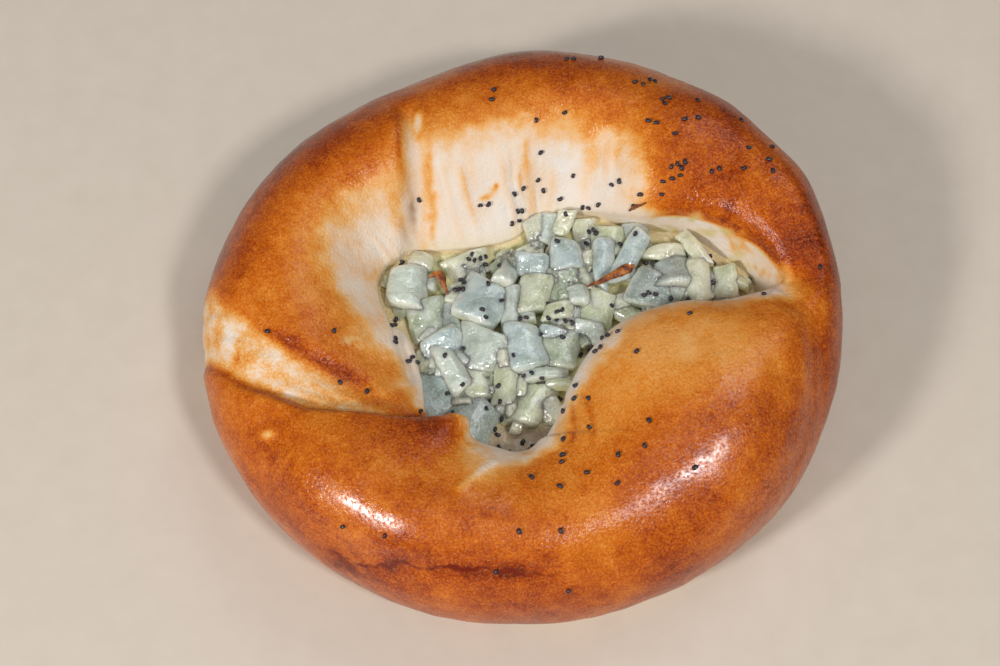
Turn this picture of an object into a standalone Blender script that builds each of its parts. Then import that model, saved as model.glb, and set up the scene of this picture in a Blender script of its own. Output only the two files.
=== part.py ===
"""A bialy: a round baked roll with a hand-pressed well, filled with chopped onion and poppy seeds.

The dough is one ring-shaped surface, lofted through sections round the well and closed underneath.
Sizes are in millimetres; +Z is up, +X is to the right and +Y is away from the viewer. The origin is
the centre of the footprint, on the surface that the roll rests on.
"""

import math

import bmesh
import bpy
import numpy as np
from mathutils import Matrix, Vector
from mathutils.bvhtree import BVHTree

MM = 0.001

# Dough: how far it stands out, every 30 degrees anticlockwise from the right
OUTLINE_RADII = (59.1, 60.1, 58.3, 56.0, 54.3, 57.0, 59.4, 58.2, 57.0, 55.7, 56.2, 58.3)
# Sections through the ring, anticlockwise from the right. Each is: side angle in degrees, crest
# height, lip x, lip y, lip height, lean of the wall below the lip towards the well (less than zero
# is an undercut), and roundness of the shoulder (0 a long slope, 1 a quarter round).
SECTIONS = (
    (2, 28.0, 46.8, 3.4, 25.5, 6.5, 0.7),
    (16, 30.0, 44.5, 10.0, 25.5, 4.5, 1.0),
    (30, 31.5, 38.5, 14.8, 25.0, 4.0, 1.0),
    (45, 32.0, 30.5, 17.4, 24.5, 0.0, 1.0),
    (60, 32.0, 21.5, 18.5, 22.5, 0.0, 0.7),
    (75, 32.0, 12.0, 21.5, 18.5, 1.0, 0.1),
    (88, 32.0, 3.5, 20.5, 18.0, 1.0, 0.0),
    (98, 31.5, -1.5, 16.5, 17.5, 1.0, 0.0),
    (110, 31.0, -8.0, 14.6, 17.5, 1.0, 0.0),
    (124, 30.5, -15.5, 13.8, 17.5, 1.0, 0.0),
    (140, 30.5, -22.5, 12.5, 18.0, 1.0, 0.1),
    (156, 30.0, -26.5, 8.5, 18.0, 1.0, 0.2),
    (172, 29.5, -26.0, 2.0, 18.5, 1.0, 0.2),
    (188, 28.0, -20.8, -4.8, 18.2, 1.0, 0.2),
    (202, 27.0, -18.6, -12.6, 19.0, 1.0, 0.3),
    (216, 29.0, -17.0, -21.0, 22.0, 0.5, 0.6),
    (232, 31.0, -12.0, -26.0, 23.5, -0.5, 0.9),
    (250, 31.5, -6.0, -28.3, 22.0, 0.0, 0.8),
    (268, 31.0, 0.5, -28.5, 21.0, 0.0, 0.8),
    (286, 31.0, 4.8, -23.5, 21.0, 0.0, 0.9),
    (302, 32.5, 8.0, -16.0, 22.0, 0.0, 0.9),
    (316, 34.0, 12.0, -9.0, 22.5, 0.0, 0.9),
    (328, 34.5, 18.5, -3.3, 22.5, 0.0, 0.9),
    (339, 33.5, 27.0, -0.2, 22.0, 0.0, 0.9),
    (350, 31.0, 36.5, 0.9, 21.5, 1.5, 0.85),
)
EQUATOR_HEIGHT = 13.0
BASE_INSET = 6.0
CREST_INSET = 17.0
CREST_INSET_SHARE = 0.46
# The long slope is part a cosine and part a power of the share of the way down
SLOPE_COSINE_SHARE, SLOPE_POWER = 0.35, 1.7
FLOOR_EDGE_HEIGHT = 9.5
FLOOR_HEIGHT = 8.5
WELL_CENTRE = (0.0, 5.0)

# How finely the dough is meshed
COLUMNS_PER_SECTION = 4
LOWER_SIDE_RINGS = 3
UPPER_SIDE_RINGS = 6
SLOPE_RINGS = 7
WALL_RINGS = 3
FLOOR_RINGS = 2

# Filling: a bed of onion and its juice, with the chopped pieces that show lying in it
BED_HEIGHT, BED_RISE = 15.9, 0.045
BED_UNDER_LIP = 0.8
BED_CLEARANCE = 0.6
FLOOR_GAP = 0.5
PIECE_GAP = 0.35
BED_TOP_SHARES = (0.12, 0.5)
BED_FOOT_SHARE = 0.4
# The chopped pieces. Each is: x, y, width, length, thickness, height of its middle over the bed, and
# its turn, pitch and roll in degrees.
ONION = (
    (-21.3, 5.6, 7.0, 8.0, 4.4, 1.4, 0, 4, 8),
    (-17.4, -0.6, 6.6, 7.6, 4.0, 1.2, 20, 6, -6),
    (-13.2, -0.3, 3.4, 5.2, 3.0, 1.0, 10, 0, 0),
    (-7.4, 2.2, 9.0, 8.2, 3.0, 2.7, -35, -6, 6),
    (-2.2, 0.8, 3.1, 9.2, 3.4, 2.0, -6, 0, 12),
    (-2.9, 8.6, 3.6, 6.6, 3.0, 2.4, -25, -20, 20),
    (1.8, 10.1, 5.8, 4.2, 3.4, 2.6, -8, 16, 4),
    (1.8, 4.4, 6.4, 7.0, 3.4, 2.1, -5, 8, -6),
    (8.0, 12.0, 5.6, 5.8, 5.0, 2.2, 4, 10, 4),
    (5.0, 9.4, 3.0, 4.2, 3.0, 1.6, 0, 0, 0),
    (8.4, 6.4, 7.4, 6.6, 3.4, 1.2, 0, 12, 8),
    (11.4, 7.6, 2.2, 5.6, 3.0, 2.0, 16, 0, 26),
    (14.7, 10.6, 3.7, 9.0, 3.2, 2.2, -8, 8, 16),
    (19.8, 11.8, 3.7, 10.0, 3.2, 2.6, -28, 8, 18),
    (10.1, 3.6, 3.8, 3.5, 3.0, 2.6, 0, 0, 0),
    (6.5, 0.8, 5.4, 3.3, 3.0, 2.0, 4, 6, 0),
    (13.9, 1.6, 5.6, 6.6, 2.8, 2.4, -15, 4, 8),
    (12.0, -2.8, 5.6, 3.8, 3.0, 2.0, -12, 26, 0),
    (8.2, -1.9, 4.2, 3.0, 2.8, 1.4, 0, 0, -10),
    (0.3, -6.2, 7.0, 8.4, 5.0, 2.6, 5, 8, 12),
    (6.4, -6.0, 7.6, 7.4, 3.2, 1.2, -10, 10, -10),
    (6.2, -3.2, 6.6, 1.8, 2.6, 2.3, -14, 24, 0),
    (-7.4, -6.8, 8.0, 7.6, 3.4, 2.1, -5, 6, -4),
    (-14.8, -5.4, 8.0, 4.4, 3.2, 2.2, 25, 24, 0),
    (-17.2, -8.6, 3.4, 4.8, 3.0, 1.0, 10, 0, -16),
    (-12.9, -10.8, 3.9, 8.2, 3.0, 3.0, 35, 6, 10),
    (-8.2, -13.1, 5.2, 5.2, 3.0, 2.0, 5, 6, 6),
    (-16.0, -14.4, 8.0, 8.6, 3.0, 1.6, -30, -6, -4),
    (-9.9, -19.8, 9.4, 8.4, 3.0, 1.0, -28, 2, -6),
    (-3.2, -12.3, 4.2, 9.4, 3.0, 1.9, -5, 4, 0),
    (-3.6, -8.9, 2.4, 3.4, 2.4, 2.8, 5, 0, 0),
    (0.7, -17.0, 7.9, 7.2, 3.0, 1.5, -9, 2, -2),
    (4.1, -11.8, 7.6, 1.7, 3.4, 1.9, 4, 0, 0),
    (11.6, 18.0, 4.2, 4.0, 1.8, 0.5, 10, 8, 0),
    (3.8, 18.2, 6.0, 5.2, 2.4, 0.6, 0, 10, 0),
    (2.4, 15.0, 3.0, 3.0, 2.0, 0.8, 20, 0, 0),
    (-10.2, 10.4, 7.6, 4.4, 1.6, 0.9, 20, 10, 0),
    (21.6, 16.2, 4.2, 4.6, 2.6, 1.6, 6, 14, 0),
    (16.2, 15.3, 6.0, 5.6, 2.4, 1.4, 0, 10, 0),
    (26.7, 12.9, 7.2, 3.1, 3.0, 2.4, -8, 10, 0),
    (31.8, 13.3, 2.6, 7.2, 2.8, 2.6, 40, 0, 0),
    (24.5, 4.8, 9.4, 6.4, 3.2, 2.6, -15, 10, 6),
    (27.6, 8.2, 7.0, 5.4, 3.2, 2.3, 12, -8, 10),
    (32.6, 6.9, 4.4, 7.4, 3.4, 2.2, 14, 4, 16),
    (37.6, 7.0, 4.6, 6.2, 3.0, 1.4, 0, 6, -20),
    (18.8, 3.2, 4.4, 2.8, 2.4, 1.9, 24, 0, 0),
)
BOW, BACK_TAPER = 0.09, 0.92
# A piece that would touch the dough is drawn in small steps towards the middle of its end of the well
WELL_MIDDLE, CAVE_MIDDLE, CAVE_FROM_X = (2.0, 2.0), (26.0, 9.0), 18.0
DRAW_IN_STEP, DRAW_IN_TRIES = 0.6, 14
# Slivers of onion that have toasted brown, in the same columns
TOASTED_ONION = (
    (16.0, 6.7, 1.9, 9.6, 2.6, 4.2, -66, 0, 0),
    (-15.3, 6.6, 2.2, 4.6, 2.6, 2.6, 30, 6, 6),
)

# Poppy seeds, sown in patches. Each is: x, y, spread across, spread along, turn, count.
SEED_LENGTH, SEED_WIDTH, SEED_SUNK = 1.25, 1.0, 0.12
CRUST_SEED_PATCHES = (
    (-1.0, 20.5, 3.4, 1.8, 0, 9),
    (9.0, 24.0, 4.0, 1.8, 0, 5),
    (-24.0, -4.5, 1.2, 5.0, 20, 11),
    (14.5, -9.0, 2.0, 4.5, -50, 12),
    (7.0, -21.0, 1.8, 4.0, 0, 4),
    (28.0, -1.5, 5.0, 1.3, 0, 4),
    (43.0, 8.0, 2.5, 2.5, 0, 3),
    (-2.0, -31.0, 5.0, 1.0, 0, 4),
)
# Single seeds on the crust, as x and y: the back slope, its right end, the left side, then the front
SINGLE_SEEDS = (
    (-5.3, 40.2), (-5.7, 38.0), (2.5, 34.4), (7.8, 35.7), (3.4, 29.8), (2.9, 25.9), (0.1, 24.2),
    (3.9, 24.5), (9.5, 26.9), (8.4, 47.6), (9.7, 47.7), (14.9, 49.0), (21.0, 41.9), (22.5, 41.5),
    (26.3, 36.7), (23.2, 33.1), (24.6, 32.6), (27.9, 30.3), (29.8, 33.2), (32.5, 37.9), (32.3, 33.6),
    (18.0, 23.8), (16.6, 23.7), (21.7, 20.8), (20.6, 19.4), (14.3, 21.7), (-7.9, 20.8), (-6.4, 21.1),
    (40.5, 34.4), (41.4, 27.8), (45.9, 28.8), (44.9, 25.2), (45.5, 22.8), (34.5, 23.3), (35.9, 23.8),
    (40.3, 23.5), (28.8, 22.9), (27.4, 22.5), (25.7, 22.2), (25.5, 20.3), (53.4, 5.0), (42.5, 8.3),
    (-19.2, 21.2), (-45.4, -7.3), (-33.8, -6.7), (-32.5, -16.1), (-27.7, -17.6), (-30.9, -43.1),
    (-23.6, -45.5), (-1.0, -45.5), (6.0, -45.3), (-4.9, -51.1), (7.4, -53.1), (1.2, -35.6), (6.0, -37.6),
    (10.6, -35.2), (15.9, -32.3), (6.6, -31.4), (6.4, -32.8), (15.6, -37.3), (28.8, -34.6), (20.4, -30.9),
    (8.9, -20.0), (11.3, -20.5), (19.7, -12.9), (29.3, -5.4), (43.0, -0.4),
)
FILLING_SEED_PATCHES = (
    (-10.5, 9.0, 3.5, 1.6, 0, 12),
    (8.0, -5.0, 2.5, 3.0, 30, 12),
    (-1.0, -21.0, 4.5, 3.0, 0, 12),
    (27.0, 4.8, 4.5, 1.6, 0, 10),
    (12.0, 14.5, 6.0, 2.0, 0, 11),
    (-14.0, -8.0, 2.5, 5.0, 20, 10),
    (3.0, 3.0, 8.0, 6.0, 0, 10),
    (33.0, 11.0, 3.0, 2.5, 0, 6),
)
SEED_DRAW = 5
SEED_CLEARANCE = 0.3
SEED_BALL_RADIUS = 1.08
DROP_HEIGHT = 60.0
SHARP_ANGLE = 35

# Folds and tears in the crust, as lines seen from above
OVERLAP_LINE = ((-66, -6.5), (-58, -10.0), (-49.3, -16.6), (-37.6, -21.9), (-22.2, -23.4), (-8, -25))
OVERLAP_RISE, OVERLAP_DROP, OVERLAP_SOFTNESS = 1.5, 1.8, 0.4
OVERLAP_FADE_OVER, OVERLAP_FADE_UNDER = 9.0, 6.0
OVERLAP_AT_SIDE, OVERLAP_GROWS = 0.3, (0.12, 0.4)
STRETCH_LINE = ((-66, 6.0), (-56.5, 2.9), (-42.9, -8.0), (-28.0, -15.2), (-19, -22.5))
STRETCH_STEP, STRETCH_SOFTNESS, STRETCH_FADE, STRETCH_GROWS = 0.9, 0.6, 5.0, (0.05, 0.3)
TEAR_LINE = ((-21.9, 40.0), (-20.9, 24.0), (-20.6, 8.0))
TEAR_DEPTH, TEAR_HALF_WIDTH = 1.1, 1.8
TEAR_STEP, TEAR_STEP_SOFTNESS, TEAR_STEP_FADE, TEAR_STEP_ENDS = 0.7, 0.5, 6.0, 0.25
LIMB_LINE = ((44.5, 1.5), (50.5, -4.5), (52.6, -12.0), (52.4, -21.0), (47.8, -32.5))
LIMB_DEPTH, LIMB_HALF_WIDTH, LIMB_FADE = 1.0, 3.0, 0.5
LIP_CREASE_LINE = ((-26.2, 8.0), (-24.8, 3.0), (-23.8, -1.0), (-22.4, -5.5), (-20.9, -10.5), (-19.4, -16.0))
LIP_CREASE_DEPTH, LIP_CREASE_HALF_WIDTH = 0.9, 0.8
SEAM_LINE = ((-40.0, -43.5), (-26.0, -46.6), (-7.0, -47.0), (13.5, -47.9), (25.0, -46.5))
SEAM_DEPTH, SEAM_HALF_WIDTH = 0.5, 1.6
# Uneven swelling of the dough: two waves, each with its height, and its turns per millimetre
SWELLING, SWELLING_TURNS = 0.35, (0.17, 0.15)
CROSS_SWELLING, CROSS_SWELLING_TURNS = 0.2, 0.23
SWELLING_HEIGHTS = (14, 24)
# Relief fades out towards the foot, towards the well's middle and down the wall
RELIEF_HEIGHTS, RELIEF_RADII = (3, 11), (10, 26)
FOLDS_END_ON_WALL = 0.34
GROOVE_FADE = 0.15
# The overlapping fold ends in a small beak that hangs over the well: its root, reach and half width
BEAK_ROOT, BEAK_REACH, BEAK_HALF_WIDTH, BEAK_TURN = (-15.0, -25.6), 3.6, 3.0, 28
BEAK_FADE_BEHIND, BEAK_FADE_AHEAD = 7.0, 9.0
BEAK_HEIGHTS, BEAK_LIFT = (20.0, 24.5), 0.1


def smooth_step(value, low, high):
    """0 below low, 1 above high, and an even curve between them."""
    t = np.clip((value - low) / (high - low), 0, 1)
    return t * t * (3 - 2 * t)


def periodic_at(values, place):
    """A smooth closed curve through the values, read at any place counted in values."""
    v = np.asarray(values, float)
    whole = np.floor(place).astype(int)
    t = place - whole
    a, b, c, d = (v[(whole + k) % len(v)] for k in (-1, 0, 1, 2))
    return 0.5 * (2 * b + (c - a) * t + (2 * a - 5 * b + 4 * c - d) * t**2 + (3 * b - a - 3 * c + d) * t**3)


def ring_guides(columns):
    """Side, crest and lip of every column of the ring, read from the sections."""
    count = len(SECTIONS)
    place = np.arange(columns) * count / columns
    turn, crest, lip_x, lip_y, lip_z, lean, roundness = np.array(SECTIONS, float).T
    even = 360 / count
    angle = periodic_at(turn - even * np.arange(count), place) + even * place
    radius = periodic_at(OUTLINE_RADII, angle % 360 / 30)
    out = np.stack([np.cos(np.radians(angle)), np.sin(np.radians(angle))], 1)
    side = out * radius[:, None]
    lip = np.stack([periodic_at(lip_x, place), periodic_at(lip_y, place)], 1)
    width = np.linalg.norm(lip - side, axis=1)
    inward = (lip - side) / width[:, None]
    return {
        "out": out,
        "side": side,
        "lip": lip,
        "inward": inward,
        "crest_inset": np.minimum(CREST_INSET, CREST_INSET_SHARE * width),
        "width": width,
        "crest_height": periodic_at(crest, place),
        "lip_height": periodic_at(lip_z, place),
        "lean": periodic_at(lean, place),
        "roundness": np.clip(periodic_at(roundness, place), 0, 1),
    }


def wall_point(guides, height):
    """The ring of points where the wall below the lip passes a height."""
    fall = guides["lip_height"] - height
    share = np.clip(fall / (guides["lip_height"] - FLOOR_EDGE_HEIGHT), 0, 1)
    plan = guides["lip"] + guides["inward"] * (guides["lean"] * share)[:, None]
    return np.column_stack([plan, np.broadcast_to(height, share.shape)])


def dough_rings(guides):
    """The smooth dough as rings of points, from the underside out, over the crest and into the well."""
    rings = []

    def add(plan, height):
        rings.append(np.column_stack([plan, np.broadcast_to(height, len(plan))]))

    for turn in np.linspace(0, math.pi / 2, LOWER_SIDE_RINGS, endpoint=False):
        inset = BASE_INSET * (1 - math.sin(turn))
        add(guides["side"] - guides["out"] * inset, EQUATOR_HEIGHT * (1 - math.cos(turn)))
    rise = guides["crest_height"] - EQUATOR_HEIGHT
    for turn in np.linspace(0, math.pi / 2, UPPER_SIDE_RINGS, endpoint=False):
        inset = guides["crest_inset"] * (1 - math.cos(turn))
        add(guides["side"] + guides["inward"] * inset[:, None], EQUATOR_HEIGHT + rise * math.sin(turn))
    slope_width = guides["width"] - guides["crest_inset"]
    drop = guides["crest_height"] - guides["lip_height"]
    for share in np.arange(SLOPE_RINGS + 1) / SLOPE_RINGS:
        quarter_round = math.sqrt(1 - share**2)
        cosine_slope = 0.5 + 0.5 * math.cos(math.pi * share)
        long_slope = SLOPE_COSINE_SHARE * cosine_slope
        long_slope += (1 - SLOPE_COSINE_SHARE) * (1 - share**SLOPE_POWER)
        form = guides["roundness"] * quarter_round + (1 - guides["roundness"]) * long_slope
        inset = guides["crest_inset"] + slope_width * share
        add(guides["side"] + guides["inward"] * inset[:, None], guides["lip_height"] + drop * form)
    for share in np.arange(1, WALL_RINGS + 1) / WALL_RINGS:
        height = guides["lip_height"] + (FLOOR_EDGE_HEIGHT - guides["lip_height"]) * share
        rings.append(wall_point(guides, height))
    foot = rings[-1][:, :2]
    for share in np.arange(1, FLOOR_RINGS) / FLOOR_RINGS:
        sag = (FLOOR_HEIGHT - FLOOR_EDGE_HEIGHT) * (1 - (1 - share) ** 2)
        add(foot + (np.array(WELL_CENTRE) - foot) * share, FLOOR_EDGE_HEIGHT + sag)
    return np.array(rings)


def from_line(points, line):
    """Signed distance in plan from a line, more than zero on its right, and the share along it."""
    start, end = np.array(line[:-1], float), np.array(line[1:], float)
    step = end - start
    length = np.linalg.norm(step, axis=1)
    offset = points[:, None, :2] - start
    along = np.clip((offset * step).sum(2) / length**2, 0, 1)
    gap = offset - along[..., None] * step
    distance = np.linalg.norm(gap, axis=2)
    nearest = distance.argmin(1)
    pick = np.arange(len(points)), nearest
    side = np.sign(step[nearest, 1] * gap[pick][:, 0] - step[nearest, 0] * gap[pick][:, 1])
    run = np.concatenate([[0], np.cumsum(length)])
    return distance[pick] * side, (run[nearest] + along[pick] * length[nearest]) / run[-1]


def groove(points, line, depth, half_width, end_fade=GROOVE_FADE):
    """A soft furrow along a line, which fades out at both ends."""
    distance, along = from_line(points, line)
    fade = smooth_step(along, 0, GROOVE_FADE) * smooth_step(1 - along, 0, end_fade)
    return -depth * fade * np.exp(-((distance / half_width) ** 2))


def relief(points):
    """How far folds, tears and uneven swelling move the crust along its normal."""
    x, y, z = points.T
    overlap, along_overlap = from_line(points, OVERLAP_LINE)
    over = 1 / (1 + np.exp(-overlap / OVERLAP_SOFTNESS))
    folded = over * OVERLAP_RISE * np.exp(-np.clip(overlap, 0, None) / OVERLAP_FADE_OVER)
    folded -= (1 - over) * OVERLAP_DROP * np.exp(-np.clip(-overlap, 0, None) / OVERLAP_FADE_UNDER)
    growth = smooth_step(along_overlap, *OVERLAP_GROWS)
    moved = folded * (OVERLAP_AT_SIDE + (1 - OVERLAP_AT_SIDE) * growth)
    stretch, along_stretch = from_line(points, STRETCH_LINE)
    above = 1 / (1 + np.exp(stretch / STRETCH_SOFTNESS))
    ridge = above * STRETCH_STEP * np.exp(-np.clip(-stretch, 0, None) / STRETCH_FADE)
    moved += ridge * smooth_step(along_stretch, *STRETCH_GROWS)
    tear, along_tear = from_line(points, TEAR_LINE)
    edge = np.tanh(tear / TEAR_STEP_SOFTNESS) * np.exp(-np.abs(tear) / TEAR_STEP_FADE)
    ends = smooth_step(along_tear, 0, TEAR_STEP_ENDS) * smooth_step(1 - along_tear, 0, TEAR_STEP_ENDS)
    moved += TEAR_STEP * edge * ends
    moved += groove(points, TEAR_LINE, TEAR_DEPTH, TEAR_HALF_WIDTH)
    moved += groove(points, LIMB_LINE, LIMB_DEPTH, LIMB_HALF_WIDTH, LIMB_FADE)
    moved += groove(points, LIP_CREASE_LINE, LIP_CREASE_DEPTH, LIP_CREASE_HALF_WIDTH)
    moved += groove(points, SEAM_LINE, SEAM_DEPTH, SEAM_HALF_WIDTH)
    swelling = SWELLING * np.sin(SWELLING_TURNS[0] * x + 1.1) * np.sin(SWELLING_TURNS[1] * y + 0.4)
    swelling += CROSS_SWELLING * np.sin(CROSS_SWELLING_TURNS * (x - y) + 2.0)
    moved += swelling * smooth_step(z, *SWELLING_HEIGHTS)
    from_well = np.hypot(x - WELL_CENTRE[0], y - WELL_CENTRE[1])
    return moved * smooth_step(z, *RELIEF_HEIGHTS) * smooth_step(from_well, *RELIEF_RADII)


def beak(points):
    """How far the end of the overlapping fold is drawn out over the well."""
    x, y, z = points.T
    turn = math.radians(BEAK_TURN)
    ahead = (x - BEAK_ROOT[0]) * math.cos(turn) + (y - BEAK_ROOT[1]) * math.sin(turn)
    aside = -(x - BEAK_ROOT[0]) * math.sin(turn) + (y - BEAK_ROOT[1]) * math.cos(turn)
    fade = np.where(ahead < 0, BEAK_FADE_BEHIND, BEAK_FADE_AHEAD)
    share = np.exp(-((aside / BEAK_HALF_WIDTH) ** 2) - (ahead / fade) ** 2)
    share *= smooth_step(z, *BEAK_HEIGHTS) * BEAK_REACH
    return share[:, None] * np.array([math.cos(turn), math.sin(turn), BEAK_LIFT])


def ring_normals(rings):
    """Outward unit normals of a grid of rings."""
    around = np.roll(rings, -1, 1) - np.roll(rings, 1, 1)
    across = np.gradient(rings, axis=0)
    normal = np.cross(around, across)
    return normal / np.maximum(np.linalg.norm(normal, axis=2, keepdims=True), 1e-9)


def lofted_mesh(name, rings, first_pole, last_pole):
    """A closed mesh over rings of points, with a pole at each end. Outward for rings that climb."""
    count, columns, _ = rings.shape
    points = np.vstack([rings.reshape(-1, 3), first_pole, last_pole]) * MM
    here = np.arange(columns)
    after = (here + 1) % columns
    quads = [
        (row * columns + a, row * columns + b, (row + 1) * columns + b, (row + 1) * columns + a)
        for row in range(count - 1)
        for a, b in zip(here, after)
    ]
    first, last = count * columns, count * columns + 1
    top = (count - 1) * columns
    fans = [(first, b, a) for a, b in zip(here, after)]
    fans += [(last, top + a, top + b) for a, b in zip(here, after)]
    mesh = bpy.data.meshes.new(name)
    mesh.from_pydata(points.tolist(), [], [tuple(int(i) for i in face) for face in quads + fans])
    mesh.validate()
    return mesh


def plain_material(name, colour, roughness):
    material = bpy.data.materials.new(name)
    material.use_nodes = True
    shader = material.node_tree.nodes["Principled BSDF"]
    shader.inputs["Base Color"].default_value = (*colour, 1)
    shader.inputs["Roughness"].default_value = roughness
    shader.inputs["Metallic"].default_value = 0
    return material


def add_object(name, mesh, material):
    made = bpy.data.objects.new(name, mesh)
    mesh.materials.append(material)
    mesh.shade_smooth()
    bpy.context.scene.collection.objects.link(made)
    return made


def dough():
    """The baked ring, its underside flat and its well open."""
    rings = dough_rings(ring_guides(COLUMNS_PER_SECTION * len(SECTIONS)))
    points = rings.reshape(-1, 3)
    folds = ring_normals(rings).reshape(-1, 3) * relief(points)[:, None] + beak(points)
    lip_row = LOWER_SIDE_RINGS + UPPER_SIDE_RINGS + SLOPE_RINGS
    wall_share = (np.arange(len(rings)) - lip_row) / WALL_RINGS
    fade = 1 - smooth_step(wall_share, 0, FOLDS_END_ON_WALL)
    rings = rings + folds.reshape(rings.shape) * fade[:, None, None]
    mesh = lofted_mesh("bialy_roll", rings, (0, 0, 0), (*WELL_CENTRE, FLOOR_HEIGHT))
    return add_object("bialy_roll", mesh, plain_material("baked_crust", (0.55, 0.22, 0.05), 0.4))


def bed_height(plan):
    """Height of the onion bed, which falls from the back slope to the front."""
    return BED_HEIGHT + BED_RISE * plan[..., 1]


def onion_bed():
    """The closed body of soft onion and juice that fills the foot of the well."""
    guides = ring_guides(COLUMNS_PER_SECTION * len(SECTIONS))
    centre = np.array(WELL_CENTRE)

    def drawn_in(height):
        ring = wall_point(guides, height)
        along = np.roll(ring[:, :2], -1, 0) - np.roll(ring[:, :2], 1, 0)
        inward = np.column_stack([-along[:, 1], along[:, 0]])
        ring[:, :2] += BED_CLEARANCE * inward / np.linalg.norm(inward, axis=1)[:, None]
        return ring

    foot = drawn_in(FLOOR_EDGE_HEIGHT + FLOOR_GAP)
    under = foot.copy()
    under[:, :2] += (centre - foot[:, :2]) * BED_FOOT_SHARE
    edge = drawn_in(np.minimum(bed_height(guides["lip"]), guides["lip_height"] - BED_UNDER_LIP))
    rings = [under, foot, edge]
    for share in BED_TOP_SHARES:
        plan = edge[:, :2] + (centre - edge[:, :2]) * share
        rings.append(np.column_stack([plan, bed_height(plan)]))
    top = (*WELL_CENTRE, float(bed_height(centre)))
    bottom = (*WELL_CENTRE, FLOOR_EDGE_HEIGHT + FLOOR_GAP)
    return lofted_mesh("onion_filling", np.array(rings), bottom, top)


def chopped_piece(width, length, thickness):
    """A chopped square of one onion layer: a short slab with a bow across its width."""
    bow = BOW * width
    across = np.array([-0.5, 0, 0.5, 0.5, 0, -0.5]) * width
    crown = np.array([0, bow, 0, 0, bow, 0]) - bow / 2
    half = np.array([1, 1, 1, -1, -1, -1]) * thickness / 2
    made = bmesh.new()
    ends = []
    for taper, y in ((1, -length / 2), (BACK_TAPER, length / 2)):
        corners = np.column_stack([across * taper, np.full(6, y), crown + half])
        ends.append([made.verts.new(corner * MM) for corner in corners])
    near, far = ends
    for k in range(6):
        made.faces.new((near[k], near[(k + 1) % 6], far[(k + 1) % 6], far[k]))
    made.faces.new(near[::-1])
    made.faces.new(far)
    bmesh.ops.recalc_face_normals(made, faces=made.faces)
    bmesh.ops.triangulate(made, faces=made.faces)
    return made


def tree_of(meshes):
    """One search tree over several meshes."""
    points, faces = [], []
    for mesh in meshes:
        start = len(points)
        points += [vertex.co.copy() for vertex in mesh.vertices]
        faces += [[start + i for i in face.vertices] for face in mesh.polygons]
    return BVHTree.FromPolygons(points, faces)


def is_clear(piece, tree, gap):
    """Whether a piece stays a gap outside the solid that the tree holds."""
    for vertex in piece.verts:
        place, normal, _, distance = tree.find_nearest(vertex.co)
        if distance < gap * MM or (vertex.co - place).dot(normal) < 0:
            return False
    return not BVHTree.FromBMesh(piece).overlap(tree)


def laid_piece(x, y, width, length, thickness, lift, turn, pitch, roll, tree):
    """A piece laid on the bed, and drawn towards the well's middle until it is clear of the dough."""
    place = np.array([x, y])
    for _ in range(DRAW_IN_TRIES):
        piece = chopped_piece(width, length, thickness)
        lay = Matrix.Translation(Vector((*place, float(bed_height(place)) + lift)) * MM)
        for angle, axis in ((turn, "Z"), (pitch, "X"), (roll, "Y")):
            lay @= Matrix.Rotation(math.radians(angle), 4, axis)
        piece.transform(lay)
        if is_clear(piece, tree, PIECE_GAP):
            mesh = bpy.data.meshes.new("onion_piece")
            piece.to_mesh(mesh)
            return mesh
        step = np.array(WELL_MIDDLE if place[0] < CAVE_FROM_X else CAVE_MIDDLE) - place
        place = place + DRAW_IN_STEP * step / max(np.linalg.norm(step), DRAW_IN_STEP)
    return None


def onion_pieces(tree):
    """Every chopped piece that shows, then the toasted slivers that lie on them."""
    laid = [laid_piece(*row, tree) for row in ONION + TOASTED_ONION]
    return [mesh for mesh in laid if mesh]


def sown(patches, singles, surface, other):
    """Poppy seeds dropped on a surface from above, each clear of the other surface."""
    draw = np.random.RandomState(SEED_DRAW)
    places = list(singles)
    for x, y, across, along, turn, count in patches:
        turned = Matrix.Rotation(math.radians(turn), 2)
        for _ in range(count):
            offset = turned @ Vector((draw.normal() * across, draw.normal() * along))
            places.append((x + offset.x, y + offset.y))
    seeds = []
    for x, y in places:
        turn = draw.uniform(0, math.pi)
        place, normal, _, _ = surface.ray_cast(Vector((x, y, DROP_HEIGHT)) * MM, Vector((0, 0, -1)))
        if place is None:
            continue
        beside = other.find_nearest(place)[3]
        shadowed = other.ray_cast(Vector((x, y, DROP_HEIGHT)) * MM, Vector((0, 0, -1)))[0]
        if beside < (SEED_LENGTH / 2 + SEED_CLEARANCE) * MM or (shadowed and shadowed.z > place.z):
            continue
        if any((place - seed.translation).length < SEED_LENGTH * MM for seed in seeds):
            continue
        stand = normal.to_track_quat("Z", "X").to_matrix().to_4x4()
        lift = place + normal * (SEED_WIDTH / 2 - SEED_SUNK * 2) * MM
        size = Matrix.Diagonal((SEED_LENGTH / 2 * MM, SEED_WIDTH / 2 * MM, SEED_WIDTH / 2 * MM, 1))
        seeds.append(Matrix.Translation(lift) @ stand @ Matrix.Rotation(turn, 4, "Z") @ size)
    meshes = []
    for seed in seeds:
        ball = bmesh.new()
        bmesh.ops.create_icosphere(ball, subdivisions=1, radius=SEED_BALL_RADIUS, matrix=seed)
        mesh = bpy.data.meshes.new("poppy_seed")
        ball.to_mesh(mesh)
        meshes.append(mesh)
    return meshes


def keep_outer_shell(mesh):
    """Drops hollows that the union has sealed, and scraps that it has left loose."""
    shape = bmesh.new()
    shape.from_mesh(mesh)
    left, shells = set(shape.verts), []
    while left:
        shell, edge = set(), {next(iter(left))}
        while edge:
            shell |= edge
            edge = {end.other_vert(vertex) for vertex in edge for end in vertex.link_edges} - shell
        left -= shell
        shells.append(shell)
    shells.sort(key=len)
    for shell in shells[:-1]:
        bmesh.ops.delete(shape, geom=list(shell), context="VERTS")
    shape.to_mesh(mesh)
    shape.free()


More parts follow.
